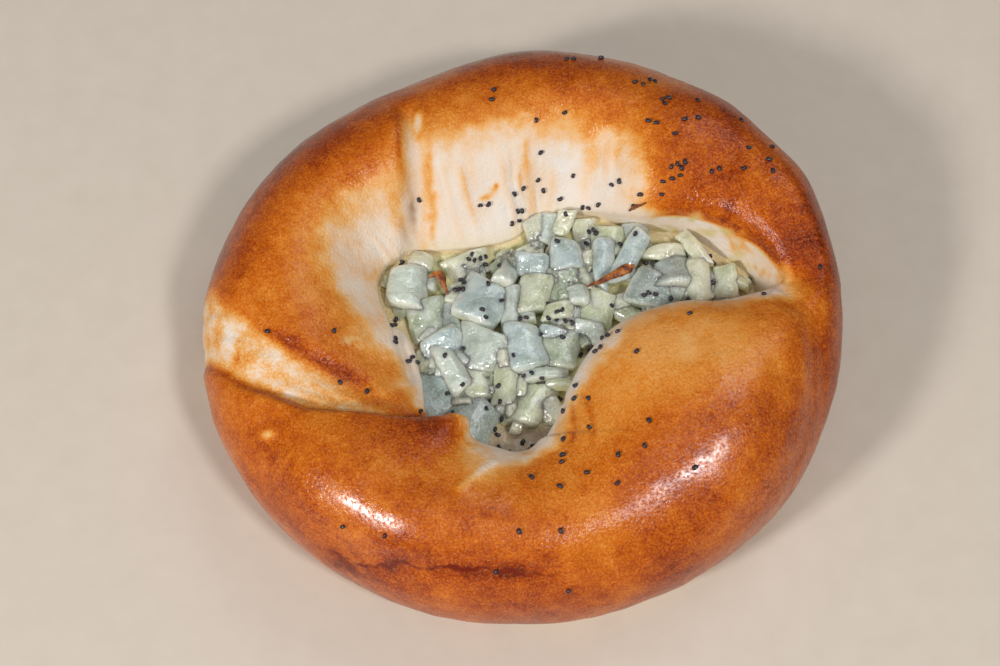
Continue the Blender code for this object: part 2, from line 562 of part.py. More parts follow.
def fuse(base, meshes):
    """One solid of the base and everything that is stuck to it."""
    group = bpy.data.collections.new("stuck_on")
    bpy.context.scene.collection.children.link(group)
    for mesh in meshes:
        group.objects.link(bpy.data.objects.new(mesh.name, mesh))
    union = base.modifiers.new("union", "BOOLEAN")
    union.operation = "UNION"
    union.operand_type = "COLLECTION"
    union.collection = group
    union.solver = "EXACT"
    bpy.context.view_layer.update()
    graph = bpy.context.evaluated_depsgraph_get()
    fused = bpy.data.meshes.new_from_object(base.evaluated_get(graph))
    base.modifiers.clear()
    base.data = fused
    keep_outer_shell(fused)
    fused.set_sharp_from_angle(angle=math.radians(SHARP_ANGLE))
    for part in list(group.objects):
        bpy.data.objects.remove(part)
    bpy.data.collections.remove(group)


def clear_scene():
    for old in list(bpy.data.objects):
        bpy.data.objects.remove(old)


def main():
    clear_scene()
    roll = dough()
    dough_tree = tree_of([roll.data])
    cooked_onion = plain_material("cooked_onion", (0.68, 0.7, 0.55), 0.25)
    filling = add_object("onion_filling", onion_bed(), cooked_onion)
    pieces = onion_pieces(dough_tree)
    filling_tree = tree_of([filling.data, *pieces])
    fuse(filling, pieces + sown(FILLING_SEED_PATCHES, (), filling_tree, dough_tree))
    fuse(roll, sown(CRUST_SEED_PATCHES, SINGLE_SEEDS, dough_tree, filling_tree))


main()
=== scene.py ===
"""The looks of a bialy: a baked roll with folds, chopped onion in its well, and poppy seeds.

Lengths are in millimetres until a mesh is made. +X is right, +Y is away from the camera, +Z is up.
"""

import math

import bpy
import numpy as np
from mathutils import Matrix, Vector
from mathutils.bvhtree import BVHTree


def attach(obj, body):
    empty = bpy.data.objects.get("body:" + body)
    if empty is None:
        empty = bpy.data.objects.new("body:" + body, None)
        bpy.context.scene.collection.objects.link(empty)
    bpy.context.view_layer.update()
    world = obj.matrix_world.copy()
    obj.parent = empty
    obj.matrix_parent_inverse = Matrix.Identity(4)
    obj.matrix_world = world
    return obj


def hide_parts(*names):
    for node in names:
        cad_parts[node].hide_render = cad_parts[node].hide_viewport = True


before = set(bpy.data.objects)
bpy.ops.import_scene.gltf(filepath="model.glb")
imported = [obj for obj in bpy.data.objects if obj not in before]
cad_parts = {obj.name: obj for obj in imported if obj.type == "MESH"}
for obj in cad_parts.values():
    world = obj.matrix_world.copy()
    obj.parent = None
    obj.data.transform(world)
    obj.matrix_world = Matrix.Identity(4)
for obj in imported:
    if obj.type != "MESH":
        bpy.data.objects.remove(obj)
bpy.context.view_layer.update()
MM = 0.001

# The dough. A ball of yeast dough is flattened, pressed hollow with the thumbs, stretched and folded
# by hand, and baked hot, so its rim is uneven, lapped over at the left and stretched thin at the back.
# It is one ring-shaped surface, lofted through the same sections as the solid, on a much finer grid.
# Radius of the outline at even steps of the side angle
OUTLINE_RADII = (59.1, 60.1, 58.3, 56.0, 54.3, 57.0, 59.4, 58.2, 57.0, 55.7, 56.2, 58.3)
OUTLINE_STEP = 360 / len(OUTLINE_RADII)
# Each section: side angle, crest height, lip x, lip y, lip height, lean of the wall, roundness
SECTIONS = (
    (2, 28.0, 46.8, 3.4, 25.5, 6.5, 0.7),
    (16, 30.0, 44.5, 10.0, 25.5, 4.5, 1.0),
    (30, 31.5, 38.5, 14.8, 25.0, 4.0, 1.0),
    (45, 32.0, 30.5, 17.4, 24.5, 0.0, 1.0),
    (60, 32.0, 21.5, 18.5, 22.5, 0.0, 0.7),
    (75, 32.0, 12.0, 21.5, 18.5, 1.0, 0.1),
    (88, 32.0, 3.5, 20.5, 18.0, 1.0, 0.0),
    (98, 31.5, -1.5, 16.5, 17.5, 1.0, 0.0),
    (110, 31.0, -8.0, 14.6, 17.5, 1.0, 0.0),
    (124, 30.5, -15.5, 13.8, 17.5, 1.0, 0.0),
    (140, 30.5, -22.5, 12.5, 18.0, 1.0, 0.1),
    (156, 30.0, -26.5, 8.5, 18.0, 1.0, 0.2),
    (172, 29.5, -26.0, 2.0, 18.5, 1.0, 0.2),
    (188, 28.0, -20.8, -4.8, 18.2, 1.0, 0.2),
    (202, 27.0, -18.6, -12.6, 19.0, 1.0, 0.3),
    (216, 29.0, -17.0, -21.0, 22.0, 0.5, 0.6),
    (232, 31.0, -12.0, -26.0, 23.5, -0.5, 0.9),
    (250, 31.5, -6.0, -28.3, 22.0, 0.0, 0.8),
    (268, 31.0, 0.5, -28.5, 21.0, 0.0, 0.8),
    (286, 31.0, 4.8, -23.5, 21.0, 0.0, 0.9),
    (302, 32.5, 8.0, -16.0, 22.0, 0.0, 0.9),
    (316, 34.0, 12.0, -9.0, 22.5, 0.0, 0.9),
    (328, 34.5, 18.5, -3.3, 22.5, 0.0, 0.9),
    (339, 33.5, 27.0, -0.2, 22.0, 0.0, 0.9),
    (350, 31.0, 36.5, 0.9, 21.5, 1.5, 0.85),
)
EQUATOR_HEIGHT, BASE_INSET = 13.0, 6.0
CREST_INSET, CREST_INSET_SHARE = 17.0, 0.46
# The long slope is part a cosine and part a power of the share of the way down
SLOPE_COSINE_SHARE, SLOPE_POWER, SLOPE_CROWDING = 0.35, 1.7, 0.25
FLOOR_EDGE_HEIGHT, FLOOR_HEIGHT = 9.5, 8.5
WELL_CENTRE = np.array([0.0, 5.0])
COLUMNS_PER_SECTION = 20
COLUMNS = COLUMNS_PER_SECTION * len(SECTIONS)
UNDERSIDE_ROWS, LOWER_SIDE_ROWS, UPPER_SIDE_ROWS = 5, 14, 32
SLOPE_ROWS, WALL_ROWS, FLOOR_ROWS = 74, 26, 5


def smooth_step(value, low, high):
    """0 below low, 1 above high, and 3 t^2 - 2 t^3 between them."""
    t = np.clip((value - low) / (high - low), 0, 1)
    return t * t * (3 - 2 * t)


def periodic_at(values, place):
    """A smooth closed curve through the values: each stretch is the cubic of its four neighbours."""
    v = np.asarray(values, float)
    whole = np.floor(place).astype(int)
    t = place - whole
    a, b, c, d = (v[(whole + k) % len(v)] for k in (-1, 0, 1, 2))
    return 0.5 * (2 * b + (c - a) * t + (2 * a - 5 * b + 4 * c - d) * t**2 + (3 * b - a - 3 * c + d) * t**3)


def ring_guides(columns):
    """Side, crest and lip of every column of the ring, read from the sections."""
    count = len(SECTIONS)
    place = np.arange(columns) * count / columns
    turn, crest, lip_x, lip_y, lip_z, lean, roundness = np.array(SECTIONS, float).T
    even = 360 / count
    angle = periodic_at(turn - even * np.arange(count), place) + even * place
    radius = periodic_at(OUTLINE_RADII, angle % 360 / OUTLINE_STEP)
    out = np.stack([np.cos(np.radians(angle)), np.sin(np.radians(angle))], 1)
    side = out * radius[:, None]
    lip = np.stack([periodic_at(lip_x, place), periodic_at(lip_y, place)], 1)
    width = np.linalg.norm(lip - side, axis=1)
    return {
        "out": out,
        "side": side,
        "lip": lip,
        "inward": (lip - side) / width[:, None],
        "crest_inset": np.minimum(CREST_INSET, CREST_INSET_SHARE * width),
        "width": width,
        "crest_height": periodic_at(crest, place),
        "lip_height": periodic_at(lip_z, place),
        "lean": periodic_at(lean, place),
        "roundness": np.clip(periodic_at(roundness, place), 0, 1),
    }


def wall_ring(guides, height):
    """The ring of points where the wall below the lip passes a height."""
    fall = guides["lip_height"] - height
    share = np.clip(fall / (guides["lip_height"] - FLOOR_EDGE_HEIGHT), 0, 1)
    plan = guides["lip"] + guides["inward"] * (guides["lean"] * share)[:, None]
    return np.column_stack([plan, np.broadcast_to(height, share.shape)])


def dough_rings(guides):
    """Rings of points from the underside out, over the crest, down the slope and into the well.

    The side is two quarter ellipses that meet at the equator. The slope from crest to lip is a blend
    of a quarter round and a long slope, by each section's roundness, and its rows crowd to the lip.
    The wall is straight.
    """
    rings = []

    def add(plan, height):
        rings.append(np.column_stack([plan, np.broadcast_to(height, len(plan))]))

    base = guides["side"] - guides["out"] * BASE_INSET
    for share in np.arange(1, UNDERSIDE_ROWS) / UNDERSIDE_ROWS:
        add(base * share, 0.0)
    for turn in np.linspace(0, math.pi / 2, LOWER_SIDE_ROWS, endpoint=False):
        inset = BASE_INSET * (1 - math.sin(turn))
        add(guides["side"] - guides["out"] * inset, EQUATOR_HEIGHT * (1 - math.cos(turn)))
    rise = guides["crest_height"] - EQUATOR_HEIGHT
    for turn in np.linspace(0, math.pi / 2, UPPER_SIDE_ROWS, endpoint=False):
        inset = guides["crest_inset"] * (1 - math.cos(turn))
        add(guides["side"] + guides["inward"] * inset[:, None], EQUATOR_HEIGHT + rise * math.sin(turn))
    slope_width = guides["width"] - guides["crest_inset"]
    drop = guides["crest_height"] - guides["lip_height"]
    even = np.arange(SLOPE_ROWS + 1) / SLOPE_ROWS
    for share in (1 + SLOPE_CROWDING) * even - SLOPE_CROWDING * even**2:
        quarter_round = math.sqrt(max(1 - share**2, 0))
        cosine = 0.5 + 0.5 * math.cos(math.pi * share)
        long_slope = SLOPE_COSINE_SHARE * cosine + (1 - SLOPE_COSINE_SHARE) * (1 - share**SLOPE_POWER)
        form = guides["roundness"] * quarter_round + (1 - guides["roundness"]) * long_slope
        inset = guides["crest_inset"] + slope_width * share
        add(guides["side"] + guides["inward"] * inset[:, None], guides["lip_height"] + drop * form)
    wall_rise = FLOOR_EDGE_HEIGHT - guides["lip_height"]
    for share in np.arange(1, WALL_ROWS + 1) / WALL_ROWS:
        rings.append(wall_ring(guides, guides["lip_height"] + wall_rise * share))
    foot = rings[-1][:, :2]
    for share in np.arange(1, FLOOR_ROWS) / FLOOR_ROWS:
        sag = (FLOOR_HEIGHT - FLOOR_EDGE_HEIGHT) * (1 - (1 - share) ** 2)
        add(foot + (WELL_CENTRE - foot) * share, FLOOR_EDGE_HEIGHT + sag)
    return np.array(rings)


def from_line(points, line):
    """Signed distance in plan from a line, more than zero on its right, and the share along it."""
    start, end = np.array(line[:-1], float), np.array(line[1:], float)
    step = end - start
    length = np.linalg.norm(step, axis=1)
    offset = points[:, None, :2] - start
    along = np.clip((offset * step).sum(2) / length**2, 0, 1)
    gap = offset - along[..., None] * step
    distance = np.linalg.norm(gap, axis=2)
    nearest = distance.argmin(1)
    pick = np.arange(len(points)), nearest
    side = np.sign(step[nearest, 1] * gap[pick][:, 0] - step[nearest, 0] * gap[pick][:, 1])
    run = np.concatenate([[0], np.cumsum(length)])
    return distance[pick] * side, (run[nearest] + along[pick] * length[nearest]) / run[-1]


def inside(points, outline):
    """Signed distance in plan from a closed outline, more than zero inside it."""
    corners = np.array(outline, float)
    after = np.roll(corners, -1, 0)
    x, y = points[:, 0, None], points[:, 1, None]
    crosses = (corners[:, 1] > y) != (after[:, 1] > y)
    rise = np.where(after[:, 1] == corners[:, 1], 1e-9, after[:, 1] - corners[:, 1])
    at = corners[:, 0] + (y - corners[:, 1]) * (after[:, 0] - corners[:, 0]) / rise
    within = np.count_nonzero(crosses & (x < at), axis=1) % 2 == 1
    distance, _ = from_line(points, [*outline, outline[0]])
    return np.abs(distance) * np.where(within, 1, -1)


NOISE_VALUES, NOISE_PRIMES = 4096, np.array([73856093, 19349663, 83492791])


def value_noise(points, size, seed):
    """Smooth noise between -1 and 1: seeded values on a lattice of that size, blended between corners."""
    table = np.random.RandomState(seed).uniform(-1, 1, NOISE_VALUES)
    place = np.asarray(points, float) / size
    whole = np.floor(place).astype(np.int64)
    t = place - whole
    t = t * t * (3 - 2 * t)
    total = np.zeros(len(place))
    for corner in np.ndindex(*([2] * place.shape[1])):
        mix = np.prod(np.where(np.array(corner) == 1, t, 1 - t), axis=1)
        cell = whole + np.array(corner)
        key = (cell * NOISE_PRIMES[: place.shape[1]]).sum(1)
        total += mix * table[(key ^ (key >> 13)) % len(table)]
    return total


def uneven(points, *layers):
    """A sum of noises, each given as the size of its lumps, its height and its seed."""
    return sum(height * value_noise(points, size, seed) for size, height, seed in layers)


# Where the folds run, as lines seen from above. The seam lies lower on the side than in the solid.
OVERLAP_LINE = ((-66, -6.5), (-58, -10.0), (-49.3, -16.6), (-37.6, -21.9), (-22.2, -23.4), (-8, -25))
OVERLAP_RISE, OVERLAP_DROP, OVERLAP_EDGE = 1.5, 1.8, 0.4
OVERLAP_RISE_FADE, OVERLAP_DROP_FADE = 9, 6
STRETCH_LINE = ((-66, 6.0), (-56.5, 2.9), (-42.9, -8.0), (-28.0, -15.2), (-19, -22.5))
STRETCH_STEP, STRETCH_EDGE, STRETCH_FADE = 0.9, 0.6, 5
TEAR_LINE = ((-21.9, 40.0), (-20.9, 24.0), (-20.6, 8.0))
TEAR_DEPTH, TEAR_HALF_WIDTH = 1.1, 1.8
TEAR_STEP, TEAR_STEP_FADE, TEAR_EDGE, TEAR_WANDER = 0.7, 6.0, 1.3, 0.7
LIMB_LINE = ((44.5, 1.5), (50.5, -4.5), (52.6, -12.0), (52.4, -21.0), (47.8, -32.5))
LIMB_DEPTH, LIMB_HALF_WIDTH, LIMB_FADE = 1.0, 3.0, 0.5
LIP_CREASE_LINE = ((-26.2, 8.0), (-24.8, 3.0), (-23.8, -1.0), (-22.4, -5.5), (-20.9, -10.5), (-19.4, -16.0))
LIP_CREASE_DEPTH, LIP_CREASE_HALF_WIDTH = 0.9, 0.8
SEAM_LINE = ((-36.5, -44.6), (-28.7, -48.0), (-18.0, -50.2), (-8.0, -50.8), (2.0, -51.2), (10.0, -50.8))
SEAM_DEPTH, SEAM_HALF_WIDTH, SEAM_RANGE = 0.5, 1.6, 4.0
FOLDS_END_ON_WALL = 0.34
BEAK_ROOT, BEAK_REACH, BEAK_HALF_WIDTH, BEAK_TURN = (-15.0, -25.6), 3.6, 3.0, 28
BEAK_FADE_BEHIND, BEAK_FADE_AHEAD = 7.0, 9.0
BEAK_HEIGHTS = (20.0, 24.5)


def bell(distance, half_width):
    """1 at no distance, falling off as exp of minus the square of the distance over the half width."""
    return np.exp(-((distance / half_width) ** 2))


def fade_ends(along, start, end):
    """1 along the middle of a line, easing to 0 over a share of it at its start and at its end."""
    return smooth_step(along, 0, start) * smooth_step(1 - along, 0, end)


def groove(points, line, depth, half_width, end_fade=0.15):
    """A soft furrow along a line: a bell-shaped dip that fades out at both ends."""
    distance, along = from_line(points, line)
    return -depth * fade_ends(along, 0.15, end_fade) * bell(distance, half_width)


def from_tear(points):
    """Signed distance from the tear, whose line wanders, and the share along it."""
    distance, along = from_line(points, TEAR_LINE)
    return distance + TEAR_WANDER * value_noise(points, 4.0, 19), along


def folds(points):
    """How far the folds, the tear and a faint swelling move the crust along its normal.

    A fold is a step along its line, 1 / (1 + exp(-distance)), that dies away on both sides.
    """
    x, y, z = points.T
    overlap, along_overlap = from_line(points, OVERLAP_LINE)
    over = 1 / (1 + np.exp(-overlap / OVERLAP_EDGE))
    lapped = over * OVERLAP_RISE * np.exp(-np.clip(overlap, 0, None) / OVERLAP_RISE_FADE)
    lapped -= (1 - over) * OVERLAP_DROP * np.exp(-np.clip(-overlap, 0, None) / OVERLAP_DROP_FADE)
    moved = lapped * (0.3 + 0.7 * smooth_step(along_overlap, 0.12, 0.4))
    stretch, along_stretch = from_line(points, STRETCH_LINE)
    above = 1 / (1 + np.exp(stretch / STRETCH_EDGE))
    ridge = above * STRETCH_STEP * np.exp(-np.clip(-stretch, 0, None) / STRETCH_FADE)
    moved += ridge * smooth_step(along_stretch, 0.05, 0.3)
    tear, along_tear = from_tear(points)
    edge = np.tanh(tear / TEAR_EDGE) * np.exp(-np.abs(tear) / TEAR_STEP_FADE)
    moved += TEAR_STEP * edge * fade_ends(along_tear, 0.25, 0.25)
    moved += groove(points, TEAR_LINE, TEAR_DEPTH, TEAR_HALF_WIDTH)
    moved += groove(points, LIMB_LINE, LIMB_DEPTH, LIMB_HALF_WIDTH, LIMB_FADE)
    moved += groove(points, LIP_CREASE_LINE, LIP_CREASE_DEPTH, LIP_CREASE_HALF_WIDTH)
    moved += groove(points, SEAM_LINE, SEAM_DEPTH, SEAM_HALF_WIDTH)
    swelling = 0.35 * np.sin(0.17 * x + 1.1) * np.sin(0.15 * y + 0.4) + 0.2 * np.sin(0.23 * (x - y) + 2.0)
    moved += swelling * smooth_step(z, 14, 24)
    from_centre = np.hypot(x - WELL_CENTRE[0], y - WELL_CENTRE[1])
    return moved * smooth_step(z, 3, 11) * smooth_step(from_centre, 10, 26)


def beak(points):
    """How far the end of the overlapping fold is drawn out over the well."""
    x, y, z = points.T
    turn = math.radians(BEAK_TURN)
    ahead = (x - BEAK_ROOT[0]) * math.cos(turn) + (y - BEAK_ROOT[1]) * math.sin(turn)
    aside = -(x - BEAK_ROOT[0]) * math.sin(turn) + (y - BEAK_ROOT[1]) * math.cos(turn)
    fade = np.where(ahead < 0, BEAK_FADE_BEHIND, BEAK_FADE_AHEAD)
    share = np.exp(-((aside / BEAK_HALF_WIDTH) ** 2) - (ahead / fade) ** 2)
    share *= smooth_step(z, *BEAK_HEIGHTS) * BEAK_REACH
    return share[:, None] * np.array([math.cos(turn), math.sin(turn), 0.1])


def ring_normals(rings):
    """Outward unit normals of a grid of rings: the cross product of its two directions."""
    around = np.roll(rings, -1, 1) - np.roll(rings, 1, 1)
    normal = np.cross(around, np.gradient(rings, axis=0))
    return normal / np.maximum(np.linalg.norm(normal, axis=2, keepdims=True), 1e-9)


def lofted_faces(count, columns):
    """Faces over a grid of rings that is followed by its two poles: quads, then a fan at each end."""
    here = np.arange(columns)
    after = (here + 1) % columns
    row = np.arange(count - 1)[:, None] * columns
    quads = np.stack([row + here, row + after, row + columns + after, row + columns + here], -1)
    top = (count - 1) * columns
    first = np.full(columns, count * columns)
    caps = np.vstack([np.stack([first, after, here], 1), np.stack([first + 1, top + here, top + after], 1)])
    return quads.reshape(-1, 4), caps


def copies_mesh(name, copies, *faces):
    """One mesh of closed surfaces that all have the same faces, each given as its points."""
    start = np.arange(len(copies))[:, None, None] * len(copies[0])
    mesh = bpy.data.meshes.new(name)
    every_face = [face for kind in faces for face in (kind + start).reshape(-1, kind.shape[1]).tolist()]
    mesh.from_pydata((np.vstack(copies) * MM).tolist(), [], every_face)
    mesh.shade_smooth()
    return mesh


def lofted_mesh(name, rings, first_pole, last_pole):
    """A closed mesh over rings of points, with a pole at each end."""
    points = np.vstack([rings.reshape(-1, 3), first_pole, last_pole])
    return copies_mesh(name, [points], *lofted_faces(*rings.shape[:2]))


def add_piece(name, mesh, material, replaced=None):
    """Puts a finished mesh in the scene, on the one body, in place of its CAD node if it has one."""
    made = bpy.data.objects.new(name, mesh)
    bpy.context.scene.collection.objects.link(made)
    mesh.materials.append(material)
    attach(made, "root")
    if replaced:
        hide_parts(replaced)


def by_row(values):
    """One value for each ring of the dough or of the bed, repeated for all of its columns."""
    return np.repeat(values, COLUMNS)


def spot(points, spot_x, spot_y, reach_x, reach_y, crispness=1):
    """A spot seen from above: exp of minus a power of the squared distance over its reach."""
    far = ((points[:, 0] - spot_x) / reach_x) ** 2 + ((points[:, 1] - spot_y) / reach_y) ** 2
    return np.exp(-(far**crispness))


guides = ring_guides(COLUMNS)
rings = dough_rings(guides)
lip_row = UNDERSIDE_ROWS - 1 + LOWER_SIDE_ROWS + UPPER_SIDE_ROWS + SLOPE_ROWS
crest_row = lip_row - SLOPE_ROWS
wall_share = (np.arange(len(rings)) - lip_row) / WALL_ROWS
fold_fade = 1 - smooth_step(wall_share, 0, FOLDS_END_ON_WALL)
flat = rings.reshape(-1, 3)
shift = ring_normals(rings).reshape(-1, 3) * folds(flat)[:, None] + beak(flat)
rings = rings + shift.reshape(rings.shape) * fold_fade[:, None, None]

# Finer relief, too small for the solid: stretch marks down the back slope and along the pale band,
# wrinkles at the front lip, a scar, a blister, and the uneven skin
WRINKLE_LINES = (
    ((6.6, -17.0), (8.0, -21.0), (8.6, -25.5), (8.0, -29.5)),
    ((9.2, -17.5), (11.0, -21.5), (11.9, -26.0), (11.3, -31.0)),
)
WRINKLE_DEPTH, WRINKLE_HALF_WIDTH = 0.4, 0.55
SCAR_LINE = ((-11.8, -39.2), (-9.2, -36.2), (-6.2, -33.4), (-4.0, -31.4))
SCAR_HEIGHT, SCAR_HALF_WIDTH = 0.3, 0.75
BLISTER, BLISTER_HEIGHT = (-44.6, -26.2, 1.9, 1.1), 0.45
BAND_OUTLINE = (
    (-60, 3), (-56.6, 4.2), (-54.6, -0.3), (-50.7, -3.3), (-46.9, -6.9), (-41.2, -11.0), (-35.2, -14.3),
    (-28.0, -19.3), (-21.8, -22.8), (-31.7, -23.2), (-38.2, -21.9), (-43.9, -18.9), (-50.3, -15.3),
    (-56.4, -10.6), (-61, -8),
)
STRETCH_MARK_DEPTH, BAND_MARK_DEPTH, LIMB_MARK_DEPTH = 0.16, 0.30, 0.12
slope_share = by_row(np.clip((np.arange(len(rings)) - crest_row) / SLOPE_ROWS, -1, 2))
around = np.tile(np.arange(COLUMNS) / COLUMNS_PER_SECTION, len(rings))
flat = rings.reshape(-1, 3)
in_band = smooth_step(inside(flat, BAND_OUTLINE), -0.8, 2.0)
marks = value_noise(np.stack([around * 4 + 0.6 * value_noise(flat, 6.0, 20), slope_share * 1.6], 1), 1.0, 21)
marks += 0.5 * value_noise(np.stack([around * 11, slope_share * 2.4], 1), 1.0, 22)
on_back = smooth_step(around, 3.5, 5.0) * (1 - smooth_step(around, 9.5, 11.5))
on_back *= smooth_step(slope_share, 0.1, 0.5) * (1 - smooth_step(slope_share, 1.0, 1.3))
fine = STRETCH_MARK_DEPTH * marks * on_back
across_band = flat[:, :2] @ np.array([[0.35], [0.94]])
fine += BAND_MARK_DEPTH * in_band * value_noise(np.hstack([across_band, flat[:, :1] * 0.22]), 1.3, 23)
wrinkles = sum(-groove(flat, line, 1.0, WRINKLE_HALF_WIDTH) for line in WRINKLE_LINES)
fine -= WRINKLE_DEPTH * wrinkles * (0.7 + 0.5 * value_noise(flat, 1.6, 24))
scar = -groove(flat, SCAR_LINE, 1.0, SCAR_HALF_WIDTH)
blister = spot(flat, *BLISTER)
fine += SCAR_HEIGHT * scar + BLISTER_HEIGHT * blister
limb, limb_along = from_line(flat, LIMB_LINE)
beside_limb = bell(limb - 1.0, 4.0) * smooth_step(flat[:, 2], 8, 16)
limb_marks = value_noise(np.stack([limb * 1.3, limb_along * 2], 1), 1.0, 25)
fine += LIMB_MARK_DEPTH * beside_limb * limb_marks
skin = uneven(flat, (7.0, 0.16, 26), (2.6, 0.07, 27), (1.2, 0.035, 28))
fine += skin * smooth_step(flat[:, 2], 1.0, 4.0)
fine *= smooth_step(flat[:, 2], 0.5, 3.0) * by_row(1 - smooth_step(wall_share, 0.1, 0.6))
rings = rings + ring_normals(rings) * fine.reshape(rings.shape[:2])[..., None]
flat = rings.reshape(-1, 3)

# How brown each place is: 0 is raw cream, 1 is nearly burnt. The crown browns most, and what lay
# under the onion or was stretched late in the oven stays cream.
CREAM_OUTLINE = (
    (-22.5, 23.5), (-27.5, 21.0), (-33.0, 17.5), (-36.0, 12.5), (-35.5, 6.5), (-32.5, 1.5), (-29.5, -3.0),
    (-26.2, -7.0), (-23.0, -11.5), (-20.8, -16.0), (-19.0, -20.0), (-15.0, -21.6), (-10.6, -23.0),
    (-9.0, -30.0), (-5.0, -32.0), (0.0, -31.8), (5.0, -29.4), (7.6, -24.5), (10.0, -18.5), (12.5, -14.0),
    (15.5, -11.0), (18.0, -8.0), (20.5, -5.0), (26.0, -3.2), (33.0, -1.5), (42.0, -2.0), (47.5, -1.0),
    (48.5, 2.0), (47.0, 5.3), (43.8, 9.2), (40.0, 13.3), (32.3, 17.1), (24.6, 18.3), (22.1, 20.5),
    (21.5, 25.6), (19.5, 29.4), (13.6, 32.2), (8.3, 33.8), (1.9, 33.6), (-3.1, 33.6), (-7.0, 32.4),
    (-12.9, 31.6), (-17.5, 30.6), (-19.0, 32.0), (-20.6, 31.5), (-22.2, 27.0),
)
x, y, z = flat.T
at_cave = smooth_step(x, 20, 27) * smooth_step(y, 4, 9)
softness = 4.0 + 3.5 * on_back + 2.5 * smooth_step(-x, 22, 28)
softness = softness * (1 - at_cave) + 0.8 * at_cave
wander = uneven(flat, (3.2, 1.1, 31), (1.1, 0.6, 32)) * np.clip(softness / 3.6, 0.4, 1.4)
depth_inside = inside(flat, CREAM_OUTLINE) + wander + 2.2 * on_back * marks
cream = smooth_step(depth_inside / softness, -0.65, 0.85)
cream = np.maximum(cream, by_row(smooth_step(wall_share, 0.02, 0.12)))

# The crust: browner and paler spots, each as x, y, reach and how much browner. The spots on the far rim
# darken it partly as painted shade, where it faces away from the lamps.
BROWN_SPOTS = (
    (58, 0, 20, 0.20), (50, -20, 16, 0.10), (52, 22, 14, 0.10), (40, 36, 14, 0.05), (35, -50, 16, 0.09),
    (0, -58, 12, 0.17), (-24, -54, 10, 0.12), (24, -54, 10, 0.10), (-40, 36, 22, 0.12),
    (-42, 16, 7, -0.08), (-43, 0, 7, -0.04), (-54, 10, 7, 0.16), (-49, 26, 8, 0.16), (-40, 38, 8, 0.10),
    (38, 37, 9, 0.16), (37.6, 17.0, 1.1, 0.18), (-2, 50, 14, 0.06), (51, -4, 5, -0.14),
    (13, -26.5, 5, -0.12), (-8, -32, 3, -0.10), (14, -46, 6, -0.07), (-16, -26, 6, 0.18),
    (-26, -24, 6, 0.10), (-30, -44, 12, 0.04), (20, -14, 12, -0.16), (34, -8, 12, -0.20),
    (44, -14, 8, -0.14), (26, -30, 14, 0.05), (6, -38, 12, -0.02), (-6, -33, 4, -0.22), (-12, -33, 4, -0.10),
    (20, 34, 8, -0.04), (0, 40, 10, -0.06), (12, 46, 12, 0.10), (-14, 50, 14, 0.10), (0, 55, 12, 0.10),
    (-12, 36, 9, -0.06), (34, 21, 6, 0.12), (46, 9, 5, 0.04), (-54, -24, 12, 0.02), (-46, -36, 12, 0.10),
    (49, 1, 4, -0.10), (44, 2, 4, -0.08),
)
MEAN_BAKE, FOOT_PALER, SEAM_BROWNER, OVERLAP_BAKE, RIDGE_BROWNER = 0.62, 0.15, 0.16, 0.78, 0.2
RIDGE_LINE = ((-52, -2.5), (-45.0, -8.2), (-40.5, -10.3), (-35.2, -13.0), (-29.0, -15.5))
WHITE_PATCH, ORANGE_BLOT = (-40.4, -18.5, 2.0, 1.2), (-50.8, -10.4, 1.4, 2.4)
eased = np.clip(smooth_step(y, 10, 20) * (1 - at_cave) + smooth_step(-x, 20, 26), 0, 1)
bake = MEAN_BAKE - 0.2 * eased * np.exp(np.minimum(depth_inside, 0) / 4.0)
for spot_x, spot_y, reach, browner in BROWN_SPOTS:
    bake += browner * spot(flat, spot_x, spot_y, reach, reach)
bake += uneven(flat, (9.0, 0.05, 33), (3.5, 0.045, 34))
seam, seam_along = from_line(flat, SEAM_LINE)
seam_fade = fade_ends(seam_along, 0.12, 0.25)
bake += SEAM_BROWNER * bell(seam, SEAM_HALF_WIDTH) * seam_fade * (0.6 + 0.9 * value_noise(flat, 3.2, 35))
bake -= FOOT_PALER * smooth_step(-z, -5, -1)
ridge, ridge_along = from_line(flat, RIDGE_LINE)
bake += RIDGE_BROWNER * bell(ridge + 0.3, 1.4) * smooth_step(ridge_along, 0.1, 0.5)
band_bake = 0.24 + uneven(flat, (2.4, 0.16, 36), (1.0, 0.12, 37)) + 0.006 * np.clip(x + 45, 0, 40)
bake = bake * (1 - in_band) + in_band * band_bake
bake += 0.3 * spot(flat, *ORANGE_BLOT) - 0.26 * spot(flat, *WHITE_PATCH) * in_band
overlap, _ = from_line(flat, OVERLAP_LINE)
overlap_edge = 0.8 * bell(overlap - 0.1, 0.6) * smooth_step(z, 6, 14) * smooth_step(-x, 14, 24)
bake += (OVERLAP_BAKE - bake) * overlap_edge

# The cream dough: it has caught a little heat in lines of gold, each with its half width and strength
GOLD_LINES = (
    (((-17.2, 33.0), (-17.4, 24.0), (-16.8, 18.0), (-16.6, 13.0)), 0.9, 0.36),
    (((-22.6, 31.0), (-24.0, 24.0), (-23.6, 19.0), (-22.6, 14.0)), 1.5, 0.26),
    (((-14.0, 35.0), (-14.2, 30.0), (-13.6, 24.0)), 1.5, 0.14),
    (((-36.0, 16.0), (-31.5, 14.0), (-29.0, 9.0), (-30.0, 4.0)), 3.5, 0.13),
    (((-8.2, 21.2), (-6.0, 22.8), (-4.0, 24.4)), 0.5, 0.40),
    (((-10.5, 33.0), (-10.0, 27.0), (-8.6, 22.0)), 1.6, 0.12),
    (((1.0, 33.0), (0.0, 28.0), (-1.0, 24.0)), 1.3, 0.12),
    (((13.5, 31.0), (12.0, 26.0), (11.5, 22.0)), 1.2, 0.14),
    (((-26.5, 12.0), (-28.0, 6.0), (-26.5, 0.0), (-24.0, -6.0)), 1.4, 0.16),
)
